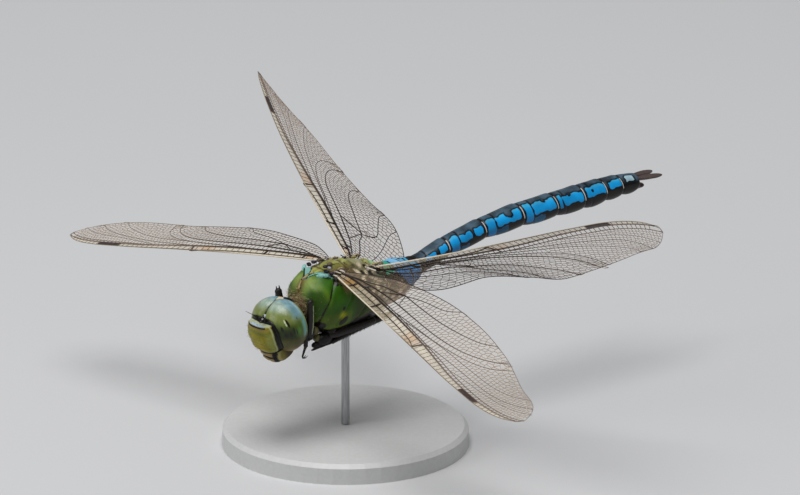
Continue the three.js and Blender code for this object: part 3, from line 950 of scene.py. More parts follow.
# %% Thorax lines
FLANK_SEAMS = [
    [(-1.3, -0.7), (-2.1, -1.2), (-2.9, -2.1), (-3.4, -2.9), (-4.2, -4.0), (-4.8, -5.1), (-5.3, -6.6)],
    [(0.9, -1.6), (0.3, -3.2), (-0.7, -4.6), (-1.4, -5.4), (-2.6, -7.2)],
    [(4.6, -2.0), (3.6, -4.2), (2.0, -6.4), (0.6, -8.0)],
]
SHIELD_TOP = [
    (0, -4.9), (0.3, -4.5), (0.7, -3.9), (1.2, -3.3), (2.0, -2.7), (2.7, -2.0), (3.3, -1.2), (4.2, -0.9),
]
SINUS_REAR = [(0, -3.6), (0.5, -2.9), (1.0, -2.3), (1.6, -1.8), (2.4, -1.45), (3.3, -1.1), (4.2, -0.8)]
BELLY_EDGE = [
    (-6.3, -6.3), (-5.2, -7.2), (-3.4, -7.9), (-1.5, -8.0), (1, -7.5), (4, -7.0), (7.5, -6.6), (10, -6.3),
]
THORAX_ENDS = 8.9
OFF = 5  # mm added to the distance from a line where the line isn't drawn

side_view, top_view = skin[:, [1, 2]], np.stack([np.abs(x), y], 1)
on_thorax = y < THORAX_ENDS
on_flank = on_thorax * soft(np.abs(x), 0.6, 1.8)
on_roof = on_thorax * soft(z - centre, 0.25 * half_height, 0.6 * half_height) * (y > -5.2)
seams = [distance(side_view, rounded(line)) + OFF * (1 - on_flank) for line in FLANK_SEAMS]
seam, first_seam = np.min(seams, axis=0), seams[0]
ridge = distance(top_view, rounded(SHIELD_TOP)) + OFF * (1 - on_roof)
furrow = distance(top_view, rounded(SINUS_REAR)) + OFF * (1 - on_roof)
behind_ridge = y - np.interp(np.abs(x), *np.array(SHIELD_TOP).T)
behind_furrow = y - np.interp(np.abs(x), *np.array(SINUS_REAR).T)
keel = np.abs(x) + OFF * soft(y, -2.9, -2.3) + OFF * (y < -5.6)
belly_edge = np.interp(y, *np.array(BELLY_EDGE).T)
BOSSES = [  # on the roof: place y, half length, half width, height
    (0.4, 1.5, 1.5, 0.35), (2.6, 0.7, 1.0, 0.45), (4.9, 1.2, 1.3, 0.3), (6.7, 0.6, 0.9, 0.4),
    (7.9, 0.5, 1.2, 0.2),
]

heights = -0.2 * bell(seam, 0.2) + 0.12 * bell(ridge, 0.16)
heights = heights - 0.2 * bell(furrow, 0.22) + 0.3 * bell(keel, 0.22)
shields = bell(np.abs(x) - 1.9, 1.1) * soft(-y, 4.4, 5.4) * (y > -5.95) * soft(z, -6.5, -4.5)
shoulders = bell(np.hypot(np.abs(x) - 1.5, y + 2.9), 1.2) * on_roof  # they carry the front wings
heights += 0.22 * shields + 0.45 * shoulders
for at, half_length, half_across, height in BOSSES:
    dome = 1 - ((y - at) / half_length) ** 2 - (x / half_across) ** 2
    heights += height * np.sqrt(np.clip(dome, 0, 1)) * on_roof
gutter = soft(np.abs(x), 1.3, 2.2) * (1 - soft(np.abs(x), 2.6, 3.6)) * soft(y, -0.6, 0.6)
heights -= 0.35 * on_roof * gutter  # on either side of the bosses, where the wings are hinged
print("seams run over", int((seam < 0.2).sum()), "vertices")

# %% [markdown]
# The abdomen's ten segments slide into each other like a telescope. Behind every joint the skin steps
# down, and towards the next it swells to a collar. A fine keel crosses each long segment a third of the
# way along.

# %% Abdomen lines
number = np.clip(np.searchsorted(JOINTS, y) - 1, 0, 9)
starts = np.array(JOINTS)[number]
lengths = np.array(JOINTS)[number + 1] - starts
since = y - starts  # mm behind the segment's front joint
on_abdomen = y > JOINTS[0]
CARINA_AT = 0.3  # the cross keel's place, as a share of the segment
long_segment = (number >= 2) & (number <= 7) & on_abdomen
joint = np.min([np.abs(y - j) for j in JOINTS[:-1]], axis=0)
carina = np.abs(since - CARINA_AT * lengths) + OFF * ~long_segment
collar = 0.08 * soft(since / lengths, 0.55, 1.0) - 0.05 * (1 - soft(since, 0, 0.9))
belly_swell = 0.3 * np.sin(np.pi * np.clip(since / lengths, 0, 1)) - 0.12
belly_groove = 0.3 * bell((np.pi - from_top) * radius, 0.5)
slender = on_abdomen * (number > 1)  # all but the first two segments, which belong to the thorax's curve
rings = collar - 0.13 * bell(joint, 0.13) + 0.05 * bell(arc, 0.16)
heights += on_abdomen * rings - 0.06 * bell(carina, 0.1)
heights += slender * (soft(from_top, 1.6, 2.6) * belly_swell - belly_groove)
ends = (y > TRUNK_FROM + 0.01) & (y < TRUNK_TO - 0.01)
raise_by(trunk, heights * ends)

# %% [markdown]
# The male's abdomen is sky blue with a ragged black line along its back. On the unrolled segment the blue
# is a few rounded fields: a narrow one ahead of the cross keel, a longer one behind it, and lower down a
# deeper patch. Whatever lies outside the fields is black or brown, and a pale ring shows in every joint.

# %% Markings
BLUE_FIELDS = {  # segment: fields, each from and to in mm behind the joint, then in radians from the back
    3: [((1.3, 3.3), (0.85, 1.4)), ((4.0, 5.35), (0.75, 1.5))],
    4: [((0.4, 1.85), (0.45, 2.3)), ((2.15, 4.3), (0.72, 1.5)), ((4.85, 6.35), (0.75, 1.5))],
    5: [((0.4, 1.85), (0.5, 2.3)), ((2.15, 6.6), (0.58, 1.5))],
    6: [((0.4, 1.65), (0.4, 2.2)), ((1.95, 5.95), (0.52, 1.5))],
    7: [((0.35, 0.95), (0.5, 1.7)), ((1.15, 4.8), (0.7, 1.5))],
    8: [((0.45, 3.9), (0.55, 1.42))],
    9: [((0.7, 2.95), (0.6, 1.3))],
    10: [((0.9, 2.5), (0.4, 1.05))],
}
DEEP_FIELDS = {4: ((2.2, 3.6), (1.85, 2.35)), 5: ((2.15, 4.1), (1.7, 2.3)), 6: ((2.0, 3.85), (1.75, 2.5))}
SPOTS = {  # dark spots in the blue: mm behind the joint, radians from the back, radius
    4: (3.2, 0.62, 0.3), 5: (4.6, 0.62, 0.75), 6: (4.15, 0.5, 0.4), 7: (2.6, 0.68, 0.4), 8: (1.6, 0.9, 0.22),
}
GIRTH = 1.75  # mm for each radian round an ordinary segment
FAR = 9.0  # mm; more than any mark's distance, so that taking it away hides the mark


def field(u, v, along, around):
    """Distance in mm inside (+) or outside (-) a field with rounded corners on the unrolled skin."""
    half_u, half_v = (along[1] - along[0]) / 2, (around[1] - around[0]) / 2 * GIRTH
    corner = 0.35 * min(half_u, half_v)
    du = np.abs(u - sum(along) / 2) - half_u + corner
    dv = np.abs(v - sum(around) / 2 * GIRTH) - half_v + corner
    return corner - np.hypot(np.maximum(du, 0), np.maximum(dv, 0)) - np.minimum(np.maximum(du, dv), 0)


blue = np.full(len(y), -FAR)
deep = blue.copy()
round_by = from_top * GIRTH
for segment, fields in BLUE_FIELDS.items():
    here = on_abdomen & (number == segment - 1)
    u = since[here]
    v = round_by[here] + 0.1 * np.sin(2.3 * u + segment) + 0.06 * np.sin(5.1 * u + 2 * segment)
    inner = np.max([field(u, v, *place) for place in fields], axis=0)
    if segment in SPOTS:
        at, turned, size = SPOTS[segment]
        inner = np.minimum(inner, np.hypot(u - at, (v - turned * GIRTH) * 0.8) - size)
    blue[here] = inner
    if segment in DEEP_FIELDS:
        deep[here] = field(u, v, *DEEP_FIELDS[segment])
print("blue covers", round(100 * float((blue > 0).sum() / on_abdomen.sum())), "% of the abdomen")

front_two = on_abdomen & (number < 2)
first, second = front_two & (number == 0), front_two & (number == 1)
last_segment = on_abdomen & (number == 9)
blue_edge = np.minimum(2.9 + 1.6 * (since - 0.4), 5.4)  # mm from the back to where segment 2 stops being blue
dark = -np.maximum(blue, deep)
dark = np.where(first, np.maximum(0.12 - np.abs(since - lengths), arc - 2.7), dark)
dark = np.where(second, np.max([
    0.14 - since, 0.11 - np.abs(since - 2.7), since - lengths + 0.3,
    0.28 - np.hypot(since - 1.9, arc - 0.4),
    arc - blue_edge, np.minimum(since - 3.3, 1.2 - arc),
    0.1 - np.abs(since - 0.95 - 0.6 * arc), 0.09 - np.abs(arc - 3.1) - 4 * (since < 2.7),
], axis=0), dark)

aside = np.abs(x)
off_flank, off_roof = OFF * (1 - on_flank), FAR * (1 - on_roof)
thorax_dark = np.max([
    0.09 - first_seam,
    belly_edge - z,
    0.1 - furrow,
    0.1 - ridge,
    0.06 - np.abs(keel - 0.26),  # two lines beside the keel
    0.3 - np.hypot(y + 1.5, z + 4.8) - off_flank,  # the spots on the flank
    0.45 - np.hypot((y + 1.5 + z + 6.9) * 0.36, (z + 6.9 - y - 1.5) * 0.62) - off_flank,
    0.8 - np.hypot(y + 5.0, z + 7.0) - off_flank,
    0.45 - np.hypot(aside - 3.5, y + 1.5) - OFF * (1 - on_roof) - OFF * (z < -2.4),  # at the wing's root
    0.09 - np.abs(aside - 0.95 - 0.12 * y) - FAR * (np.abs(y - 0.2) > 1.3) - off_roof,  # round the bosses
    0.11 - np.abs(y - 2.0 - 0.3 * aside) - FAR * (np.abs(aside - 1.1) > 0.5) - off_roof,
    0.12 - np.abs(y - 6.1 - 0.2 * aside) - FAR * (np.abs(aside - 1.2) > 0.7) - off_roof,
], axis=0)
blotch = np.sin(2.9 * y + 2 * np.sin(2.1 * z)) * np.sin(3.3 * z + 1.3 * y + 0.4)
rear_flank = on_thorax * on_flank * soft(y - 2.4 - 0.35 * np.maximum(-3 - z, 0), 0, 0.8)
low_front = front_two * soft(arc - np.where(first, 3.3, blue_edge), 0.4, 0.9)
mottled = np.maximum(rear_flank, low_front)
dark = np.where(on_thorax, thorax_dark, dark)
dark = np.where(low_front > 0.5, -0.1, dark)
dark = np.where(mottled > 0.5, np.maximum(dark, 0.4 * (-0.3 - blotch)), dark)
pale = np.where(slender, 0.14 - joint - FAR * (np.abs(from_top - 1.0) > 0.65), -FAR)  # rings in the joints
on_back = slender * (1 - soft(from_top, 0.85, 1.3))
away_from_lines = soft(dark, 0.1, 0.4) * soft(joint, 0.15, 0.45) * soft(carina, 0.08, 0.25)
paint(trunk, "Dark", dark)
paint(trunk, "Pale", pale)
paint(trunk, "Wander", np.where(on_thorax, 0.25, 0.42))
# painted reflection of the sky, strongest on the black of the abdomen's back away from the lines
paint(trunk, "SkyReflection", 0.8 * on_back * away_from_lines)

# %% Ground colours
GREEN_ENDS = 10.9  # mm behind the hinges; segment 1 is green like the thorax

sky = coat(len(y), 0x0E98DC, [
    (0x0D78B8, soft(from_top, 1.3, 2.0)),  # deeper down the sides
    (0x3FA6C4, 0.6 * (1 - soft(from_top, 0.6, 0.9))),  # and turquoise towards the back
    (0x15506F, soft(deep, -0.2, 0.1) * (deep > blue)),  # the deep patches low down
    (0x79A9CB, bell(since - 1.1, 1.3) * second * soft(2.6 - arc, 0, 1)),  # segment 2 is pale on top
    (0x076CA8, second * soft(arc, 1.9, 2.9)),  # and deep blue at the sides
    (0x3FA07C, (y < GREEN_ENDS) * 1.0),
    (0x3E8E9C, (y < GREEN_ENDS) * soft(y, 10.2, 10.6)),  # turning blue at its rear edge
    (0xA6C6D2, last_segment * 1.0),  # the pale patch before the claspers
])

ahead = soft(-y, 3.2, 4.4)
roof = on_roof * soft(behind_furrow, -0.1, 0.1)
sinus = on_roof * (behind_ridge > 0) * (behind_furrow < 0) * (keel > 0.25) * (aside < 3.4) * (z > -1.2)
bars = np.max([bell(y - at, 0.2) for at in (-1.6, 1.9, 3.5, 6.0)], axis=0)
green = coat(len(y), 0x2C5704, [
    (0x5F7A2C, ahead * soft(z, -3.6, -1.4)),  # the front shields are yellow-green, with painted light making them lighter on top
    (0x849850, ahead * bell(np.hypot(aside - 0.9, z + 0.8), 0.85)),  # a painted highlight beside the keel
    (0x2C4A0C, ahead * soft(aside, 1.2, 2.4) * soft(-z, 1.0, 1.9)),  # and painted shade low at the sides
    (0x4C6A14, bell(y + 3.6, 0.5) * bell(z + 2.6, 1.3) * on_flank),  # lighter behind the first seam's top
    (0x2C3D03, soft(y, -0.6, 1.6) * soft(-z, 1.0, 4.0)),  # the rear flank is darker
    (0x465C0A, soft(-z, 4.8, 6.0) * (y < 0)),  # moss green low down
    (0x34400A, soft(-z, 5.5, 7.5) * soft(y, -0.5, 1.0)),  # and olive farther back
    (0x6E5220, 0.85 * bell(x, 0.7) * soft(-y, 3.9, 4.9)),  # brown along the keel
    (0xA6A80E, bell(np.hypot(y + 1.75, z + 5.75), 0.5) * on_flank),  # a yellow spot between the dark ones
    (0x83803C, roof),  # the roof between the wings is buff
    (0x9BA25A, roof * bell(aside - 0.45, 0.25)),  # paler beside its middle
    (0x5E4E34, roof * soft(aside, 1.1, 2.0)),  # brown towards the hinges
    (0x4A3B26, roof * bars),  # and between the bosses
    (0x8DB58A, roof * soft(y, 6.4, 7.4)),  # blue-green at its rear end
    (0x7AACA2, sinus),  # the turquoise furrow between ridge and wings
    (0xB39A70, (keel < 0.16) * 1.0),  # the keel's crest is tan
    (0x5A4A2C, soft(-y, 5.75, 5.95)),  # brown at the neck
    (0x96957A, roof * bell(y - 4.8, 1.1) * 0.8),  # the third boss is grey
])
ground = wash(np.where(on_thorax[:, None], green, sky), [
    (0x5A4E38, 0.9 * low_front),  # brown low on the first two segments
    (0x5C5638, 0.6 * rear_flank),  # and at the rear of the thorax
    (0xD2C2A6, mottled * soft(blotch, 0.1, 0.5)),  # with cream blotches
    (0xB08578, 0.6 * low_front * bell(blotch - 0.3, 0.25)),  # edged in pink
])
paint(trunk, "Ground", ground)

# %% [markdown]
# Cuticle is layered chitin, like lacquer over pigment: smooth, a little glossy, with fine pits where
# hairs grow. The black pigment is slightly shinier than the colour beside it, and on the abdomen's back
# a patchy blue-grey painted reflection of the sky is mixed into it.

# %% Painted cuticle
cuticle, tree, shader = new_material("painted_cuticle")
place = add(tree, "ShaderNodeTexCoord")
colour = add(tree, "ShaderNodeAttribute", attribute_name="Ground")
dark_at = add(tree, "ShaderNodeAttribute", attribute_name="Dark")
pale_at = add(tree, "ShaderNodeAttribute", attribute_name="Pale")
raggedness = add(tree, "ShaderNodeAttribute", attribute_name="Wander")
sky_reflection_at = add(tree, "ShaderNodeAttribute", attribute_name="SkyReflection")
ragged = add(
    tree, "ShaderNodeTexNoise", {"Vector": place.outputs["Object"], "Scale": 1300.0, "Detail": 4.0}
)
wander = add(tree, "ShaderNodeMapRange", {0: ragged.outputs["Fac"], 1: 0.3, 2: 0.7, 3: -0.2, 4: 0.2})
weighed = add(
    tree, "ShaderNodeMath", {0: wander.outputs[0], 1: raggedness.outputs["Fac"]}, operation="MULTIPLY"
)
edge = add(tree, "ShaderNodeMath", {0: dark_at.outputs["Fac"], 1: weighed.outputs[0]}, operation="ADD")
black = add(tree, "ShaderNodeMapRange", {0: edge.outputs[0], 1: -0.04, 2: 0.04})
ring = add(tree, "ShaderNodeMapRange", {0: pale_at.outputs["Fac"], 1: 0.0, 2: 0.05})
cloud = add(tree, "ShaderNodeTexNoise", {"Vector": place.outputs["Object"], "Scale": 420.0, "Detail": 5.0})
depth = add(tree, "ShaderNodeMapRange", {0: cloud.outputs["Fac"], 1: 0.3, 2: 0.7, 3: 0.74, 4: 1.22})
live = add(
    tree, "ShaderNodeMix", {0: 1.0, 6: colour.outputs["Color"], 7: depth.outputs[0]},
    data_type="RGBA", blend_type="MULTIPLY",
)
blacks = [(0.35, 0x08080A), (0.75, 0x1E1712)]
pigment = add(tree, "ShaderNodeValToRGB", {"Fac": cloud.outputs["Fac"]}, stops=blacks)
patchy = add(tree, "ShaderNodeMapRange", {0: cloud.outputs["Fac"], 1: 0.38, 2: 0.62, 3: 0.25, 4: 1.0})
# painted reflection of the sky: the black pigment is mixed towards blue-grey in patches
sky_reflection = add(
    tree, "ShaderNodeMath", {0: sky_reflection_at.outputs["Fac"], 1: patchy.outputs[0]}, operation="MULTIPLY"
)
reflected_black = add(
    tree, "ShaderNodeMix", {0: sky_reflection.outputs[0], 6: pigment.outputs["Color"], 7: linear(0x506A7C)},
    data_type="RGBA",
)
marked = add(
    tree, "ShaderNodeMix", {0: black.outputs[0], 6: live.outputs[2], 7: reflected_black.outputs[2]},
    data_type="RGBA",
)
ringed = add(
    tree, "ShaderNodeMix", {0: ring.outputs[0], 6: marked.outputs[2], 7: linear(0xD5D2CC)},
    data_type="RGBA",
)
tree.links.new(ringed.outputs[2], shader.inputs["Base Color"])
gloss = add(tree, "ShaderNodeMapRange", {0: black.outputs[0], 3: 0.42, 4: 0.32})
tree.links.new(gloss.outputs[0], shader.inputs["Roughness"])
pits = add(tree, "ShaderNodeTexVoronoi", {"Vector": place.outputs["Object"], "Scale": 5200.0})
bump = add(
    tree, "ShaderNodeBump", {"Height": pits.outputs["Distance"], "Strength": 0.25, "Distance": 0.00003}
)
tree.links.new(bump.outputs["Normal"], shader.inputs["Normal"])
shader.inputs["IOR"].default_value = CHITIN_IOR
shader.inputs["Specular IOR Level"].default_value = 0.2  # fine hairs and pits swallow most of the gloss

trunk_places = places(trunk)
trunk_normals = np.array([v.normal for v in trunk.verts])
trunk_nodes = ["thorax", "prothorax", "neck"] + [f"abdomen_{k}" for k in range(1, 11)]
finished(trunk, "trunk_skin", cuticle, trunk_nodes)

# %% [markdown]
# ## Fuzz
#
# Short pale hairs stand on the front of the thorax, round the neck and between the wings, and dark
# bristles on the face. Each is a thin curved spike of solid mesh that leans back with the lie of the
# coat. Every spike's own UV patch sits at its root's place on the unrolled skin.

# %% Hairs
hair_material, tree, shader = new_material("fine_hair")  # thin chitin: straw brown, dull, darker at random
place = add(tree, "ShaderNodeTexCoord")
cloud = add(tree, "ShaderNodeTexNoise", {"Vector": place.outputs["Object"], "Scale": 1500.0, "Detail": 1.0})
ground = add(tree, "ShaderNodeAttribute", attribute_name="Ground")
shade = add(tree, "ShaderNodeMapRange", {0: cloud.outputs["Fac"], 1: 0.3, 2: 0.7, 3: 0.6, 4: 1.4})
tint = add(
    tree, "ShaderNodeMix", {0: 1.0, 6: ground.outputs["Color"], 7: shade.outputs[0]},
    data_type="RGBA", blend_type="MULTIPLY",
)
tree.links.new(tint.outputs[2], shader.inputs["Base Color"])
shader.inputs["Roughness"].default_value = 0.6
shader.inputs["IOR"].default_value = CHITIN_IOR

PATCH = 0.003  # how wide each hair's patch is on the UV map
HAIR_RADIUS = 0.022  # mm at the root


def hairs(name, roots, normals, unrolled, lean, length, radius, colour, seed):
    """Curved spikes on a skin: unrolled holds each root's place on the UV map, lean is where they point."""
    rng = np.random.default_rng(seed)
    bm = bmesh.new()
    lines = []
    for root, normal in zip(roots, normals):
        size = length * rng.uniform(0.6, 1.2)
        aim = np.array(lean) + rng.normal(0, 0.25, 3)
        lines.append([
            (root - normal * 0.05, radius),
            (root + (normal + aim * 0.3) * size * 0.5, radius * 0.8),
            (root + (normal * 0.75 + aim * 0.8) * size, radius * 0.15),
        ])
    count = tubes(bm, lines, 4) // len(lines)
    uv = bm.loops.layers.uv.new("OFBake")
    for face in bm.faces:
        for loop in face.loops:
            hair, corner = divmod(loop.vert.index, count)
            across, along = corner % 4 / 4, corner // 4 / 3
            loop[uv].uv = (unrolled[hair][0] + across * PATCH, unrolled[hair][1] + along * PATCH)
    paint(bm, "Ground", coat(len(bm.verts), colour))
    finished(bm, name, hair_material)


rng = np.random.default_rng(5)
tx, ty, tz = trunk_places.T
facing_up = trunk_normals[:, 2]
on_neck = (ty > -7.0) * (ty < -5.75) * (tz > -7.4)
on_chest = (ty > -5.8) * (ty < -3.4) * (tz < 0.2) * (tz > -6.5) * soft(-trunk_normals[:, 1], 0.1, 0.6)
between_wings = (ty > -2.2) * (ty < 7.5) * (facing_up > 0.6)
on_belly = (ty > -4) * (ty < 8) * (facing_up < -0.7)
HAIR_ZONES = {  # name: chance that a vertex bears a hair, lean, length, colour
    "neck_hair": (0.35 * on_neck, (0, -0.3, 0.5), 0.55, 0xD6C69C),
    "chest_hair": (0.06 * on_chest, (0, 0.2, 0.4), 0.38, 0x8A8A50),
    "roof_hair": (0.09 * between_wings, (0, 0.7, 0.2), 0.5, 0x9A8C60),
    "belly_hair": (0.05 * on_belly, (0, 0.5, -0.2), 0.4, 0x5A4C38),
}
trunk_uv = np.stack([np.arctan2(tx, -5.0 - tz) / (2 * np.pi) * 0.9 + 0.5, (ty + 8) / 70], 1)
for name, (chance, lean, length, colour) in HAIR_ZONES.items():
    chosen = rng.random(len(tx)) < chance
    roots_at, out = trunk_places[chosen], trunk_normals[chosen]
    hairs(name, roots_at, out, trunk_uv[chosen], lean, length, HAIR_RADIUS, colour, 3)

# %% [markdown]
# ## Head
#
# Two great eyes meet along a seam on top. In front of them a small black triangle carries a white knob
# between the three simple eyes, and below it the face bulges out like a mask of stacked plates. All of
# these are swollen boxes in form, so one function shapes a ball into a superellipsoid. It keeps the
# ball's own axes, in which the relief and the colours are easy to describe, and tips the piece forward at
# the end.

# %% Head shapes
TILT = math.radians(12)
GLOBE = {"centre": (0, -9.8, -5.8), "radii": (4.75, 3.45, 4.15), "squareness": 2.05, "tilt": TILT}
FACE = {"centre": (0, -12.2, -6.4), "radii": (2.9, 2.05, 2.7), "squareness": 2.8, "tilt": TILT}
MOUTH = {
    "centre": (0, -10.7, -9.05), "radii": (2.3, 2.1, 1.75), "squareness": 2.6, "tilt": math.radians(18),
}
EYES_BACK = -7.62  # the eyes end here, at the plate at the back of the head


def inside(points, form):
    """How far out each point of the globe's axes lies in another form: 1 on its surface, less inside."""
    offset = Matrix.Rotation(-TILT, 3, "X") @ (Vector(form["centre"]) - Vector(GLOBE["centre"]))
    shares = np.abs((points - np.array(offset)) / form["radii"])
    return (shares ** form["squareness"]).sum(1) ** (1 / form["squareness"])


def ball(form, detail):
    """A ball pressed into a form, with its vertices in the form's own axes."""
    bm = bmesh.new()
    bmesh.ops.create_icosphere(bm, subdivisions=detail, radius=1)
    unit = places(bm)
    reach = (np.abs(unit) ** form["squareness"]).sum(1) ** (-1 / form["squareness"])
    move_to(bm, unit * reach[:, None] * form["radii"])
    return bm


def tip(bm, form):
    """Tips a form nose-down and puts it in its place on the body."""
    turn = Matrix.Translation(form["centre"]) @ Matrix.Rotation(form["tilt"], 4, "X")
    bmesh.ops.transform(bm, matrix=turn, verts=bm.verts)
    bm.normal_update()


def cut_at(bm, point, outward):
    """Cuts a closed form with a plane, drops what lies outward of it and closes the cut."""
    geometry = bm.verts[:] + bm.edges[:] + bm.faces[:]
    cut = bmesh.ops.bisect_plane(
        bm, geom=geometry, dist=1e-5, plane_co=point, plane_no=outward, clear_outer=True
    )
    rim = [part for part in cut["geom_cut"] if isinstance(part, bmesh.types.BMEdge)]
    bmesh.ops.holes_fill(bm, edges=rim, sides=0)


def seam_share(points):
    """The share of the globe's radius that is missing along the seam between the eyes."""
    angle = np.degrees(np.arctan2(points[:, 2] / GLOBE["radii"][2], -points[:, 1] / GLOBE["radii"][1]))
    depth = np.interp(angle, [20, 45, 59, 84, 104, 125], [0.24, 0.2, 0.15, 0.11, 0.03, 0.0])
    return depth * np.clip(1 - np.abs(points[:, 0]) / 1.5, 0, 1) ** 2


def bare_of_eye(points):
    """Distances in mm, above 0 where the head shows its own plates and not an eye."""
    x, y, z = np.abs(points[:, 0]), points[:, 1], points[:, 2]
    around_face = (1.1 - 0.05 * soft(z, 0.8, 1.6) - inside(points, FACE)) * 2.8
    around_mouth = (1.06 - inside(points, MOUTH)) * 2
    in_front = np.where((y < 0) & (z > 1.0), (3.15 - z) * 1.15 - x, -FAR)
    behind = np.where(z > 2.5, 0.55 * (y - 0.6) - x, -FAR)
    return np.max([around_face, around_mouth, in_front, behind], axis=0)


capsule = ball(GLOBE, 6)
local = places(capsule)
shown = soft(bare_of_eye(local), -0.06, 0.02)
move_to(capsule, local * (1 - seam_share(local) + (0.012 - 0.065 * (1 - shown)))[:, None])
cream = soft(0.62 - np.hypot(local[:, 0], local[:, 1] - 1.25), -0.05, 0.05) * (local[:, 2] > 2.5) * shown
tip(capsule, GLOBE)
skin = places(capsule)
behind = np.maximum(skin[:, 1] - EYES_BACK, 0)
skin[:, 1] -= behind * 0.5 + 0.5 * (behind > 0) * bell(np.hypot(skin[:, 0], skin[:, 2] + 5.6), 1.8)
rim = 1 + 0.085 * soft(skin[:, 1], EYES_BACK - 0.25, EYES_BACK - 0.05)  # stands a little proud of the eyes
skin[:, 0] *= rim
skin[:, 2] = GLOBE["centre"][2] + (skin[:, 2] - GLOBE["centre"][2]) * rim
move_to(capsule, skin)
paint(capsule, "Ground", coat(len(skin), 0x1A1512, [(0xD9C7A2, cream)]))
paint(capsule, "Dark", 1 - 2 * cream)
finished(capsule, "head_capsule", cuticle, ["head"])

# %% [markdown]
# The compound eyes are packed with some twenty-eight thousand facets each. Their colour lies in pigment
# under clear lenses: pale sage on top, slate blue and teal towards the rear, leaf green and dark green
# lower down and olive-brown at the bottom, with the dark spots that look back like pupils. Facets are
# about 0.04 mm wide, finer than a picture shows, so they are drawn four times as coarse.

# %% Eye material
eye_material, tree, shader = new_material("faceted_eye_lens")
place = add(tree, "ShaderNodeTexCoord")
colour = add(tree, "ShaderNodeAttribute", attribute_name="Ground")
dark_at = add(tree, "ShaderNodeAttribute", attribute_name="Dark")
streak_map = add(tree, "ShaderNodeMapping", {"Vector": place.outputs["Object"], "Scale": (1.0, 1.0, 0.35)})
streaks = add(
    tree, "ShaderNodeTexNoise", {"Vector": streak_map.outputs[0], "Scale": 1500.0, "Detail": 4.0}
)
depth = add(tree, "ShaderNodeMapRange", {0: streaks.outputs["Fac"], 1: 0.3, 2: 0.7, 3: 0.78, 4: 1.22})
live = add(
    tree, "ShaderNodeMix", {0: 1.0, 6: colour.outputs["Color"], 7: depth.outputs[0]},
    data_type="RGBA", blend_type="MULTIPLY",
)
wander = add(tree, "ShaderNodeMapRange", {0: streaks.outputs["Fac"], 1: 0.3, 2: 0.7, 3: -0.12, 4: 0.12})
edge = add(tree, "ShaderNodeMath", {0: dark_at.outputs["Fac"], 1: wander.outputs[0]}, operation="ADD")
pupil = add(tree, "ShaderNodeMapRange", {0: edge.outputs[0], 1: -0.1, 2: 0.14})
spotted = add(
    tree, "ShaderNodeMix", {0: pupil.outputs[0], 6: live.outputs[2], 7: linear(0x17160C)},
    data_type="RGBA",
)
tree.links.new(spotted.outputs[2], shader.inputs["Base Color"])
facets = add(tree, "ShaderNodeTexVoronoi", {"Vector": place.outputs["Object"], "Scale": 6200.0})
bump = add(
    tree, "ShaderNodeBump", {"Height": facets.outputs["Distance"], "Strength": 0.12, "Distance": 0.00004}
)
tree.links.new(bump.outputs["Normal"], shader.inputs["Normal"])
shader.inputs["Roughness"].default_value = 0.3
shader.inputs["IOR"].default_value = 1.5
shader.inputs["Specular IOR Level"].default_value = 0.2  # the lenses' edges break up the plain reflection
shader.inputs["Coat Weight"].default_value = 0.25
shader.inputs["Coat Roughness"].default_value = 0.22

# %% Eyes
PALE_STREAK = (-11.55, -4.1, 0.07, 0.5)  # centre y, z, half width and half height in mm
PUPILS = [  # the dark spots, in the same way
    (-11.28, -4.2, 0.17, 0.62), (-12.1, -4.95, 0.13, 0.4), (-11.72, -5.9, 0.22, 0.36),
    (-11.15, -5.85, 0.18, 0.45), (-9.7, -3.75, 0.12, 0.2), (-10.7, -5.3, 0.1, 0.6), (-10.25, -5.6, 0.07, 0.5),
]


def in_spot(skin, y, z, half_width, half_height):
    """Distance in mm inside a tall spot that leans back a little."""
    back, up = skin[:, 1] - y, skin[:, 2] - z
    return half_height * (1 - np.hypot((back + 0.14 * up) / half_width, up / half_height))


for side, name in ((1, "left"), (-1, "right")):
    eye = ball(GLOBE, 6)
    local = places(eye)
    bare = soft(bare_of_eye(local), -0.06, 0.02)
    move_to(eye, local * (1 - seam_share(local) - 0.055 * bare)[:, None])
    tip(eye, GLOBE)
    skin = places(eye)
    back, down = skin[:, 1], -skin[:, 2]
    spots = [in_spot(skin, *spot) for spot in PUPILS]
    dark_green = soft(down, 3.6, 4.9) * (1 - 0.5 * soft(back, -9.8, -8.8))
    ground = coat(len(skin), 0x747F42, [
        (0x98AA9C, soft(-down, -3.2, -2.0)),  # pale sage on top
        (0x6A93A2, 0.85 * soft(back, -10.9, -9.5) * (1 - soft(down, 3.2, 4.4))),  # slate blue
        (0x9CC2CC, soft(back, -9.2, -8.3) * (1 - soft(down, 3.0, 5.0))),  # pale blue at the rim
        (0x42501C, dark_green),  # dark green below
        (0x1E2C06, soft(down, 4.5, 5.4) * (1 - 0.7 * soft(back, -10.9, -9.6))),  # darkest in front
        (0x4C7A2A, 0.8 * bell(back + 9.7, 0.55) * bell(down - 5.5, 1.0)),  # leaf green
        (0x68A29A, soft(back, -9.3, -8.5) * soft(down, 3.4, 4.6) * (1 - soft(down, 6.6, 7.8))),  # teal
        (0x474412, soft(down, 6.2, 7.2)),  # olive
        (0x6F5C26, soft(down, 7.9, 8.9)),  # olive-brown at the bottom
        (0x98A36A, soft(back, -8.3, -7.9)),  # a pale edge behind
        (0xC3CDA6, soft(in_spot(skin, *PALE_STREAK), -0.02, 0.04)),
    ])
    paint(eye, "Ground", ground)
    seam = 0.14 - np.abs(skin[:, 0])
    paint(eye, "Dark", np.where(np.abs(skin[:, 0]) > 1, np.max(spots, axis=0), seam))
    cut_at(eye, (0, EYES_BACK, 0), (0, 1, 0))
    cut_at(eye, (0.03 * side, 0, 0), (-side, 0, 0))
    finished(eye, f"compound_eye_{name}", eye_material, [f"eye_{name}"])

# %% [markdown]
# The face is three plates one above the other. The top one, the frons, turns over to the eyes with a pale
# blue shelf behind a black crest. The yellow shield and lip below it are parted by shallow grooves. Their
# heights are drawn as bands across the form's own height.

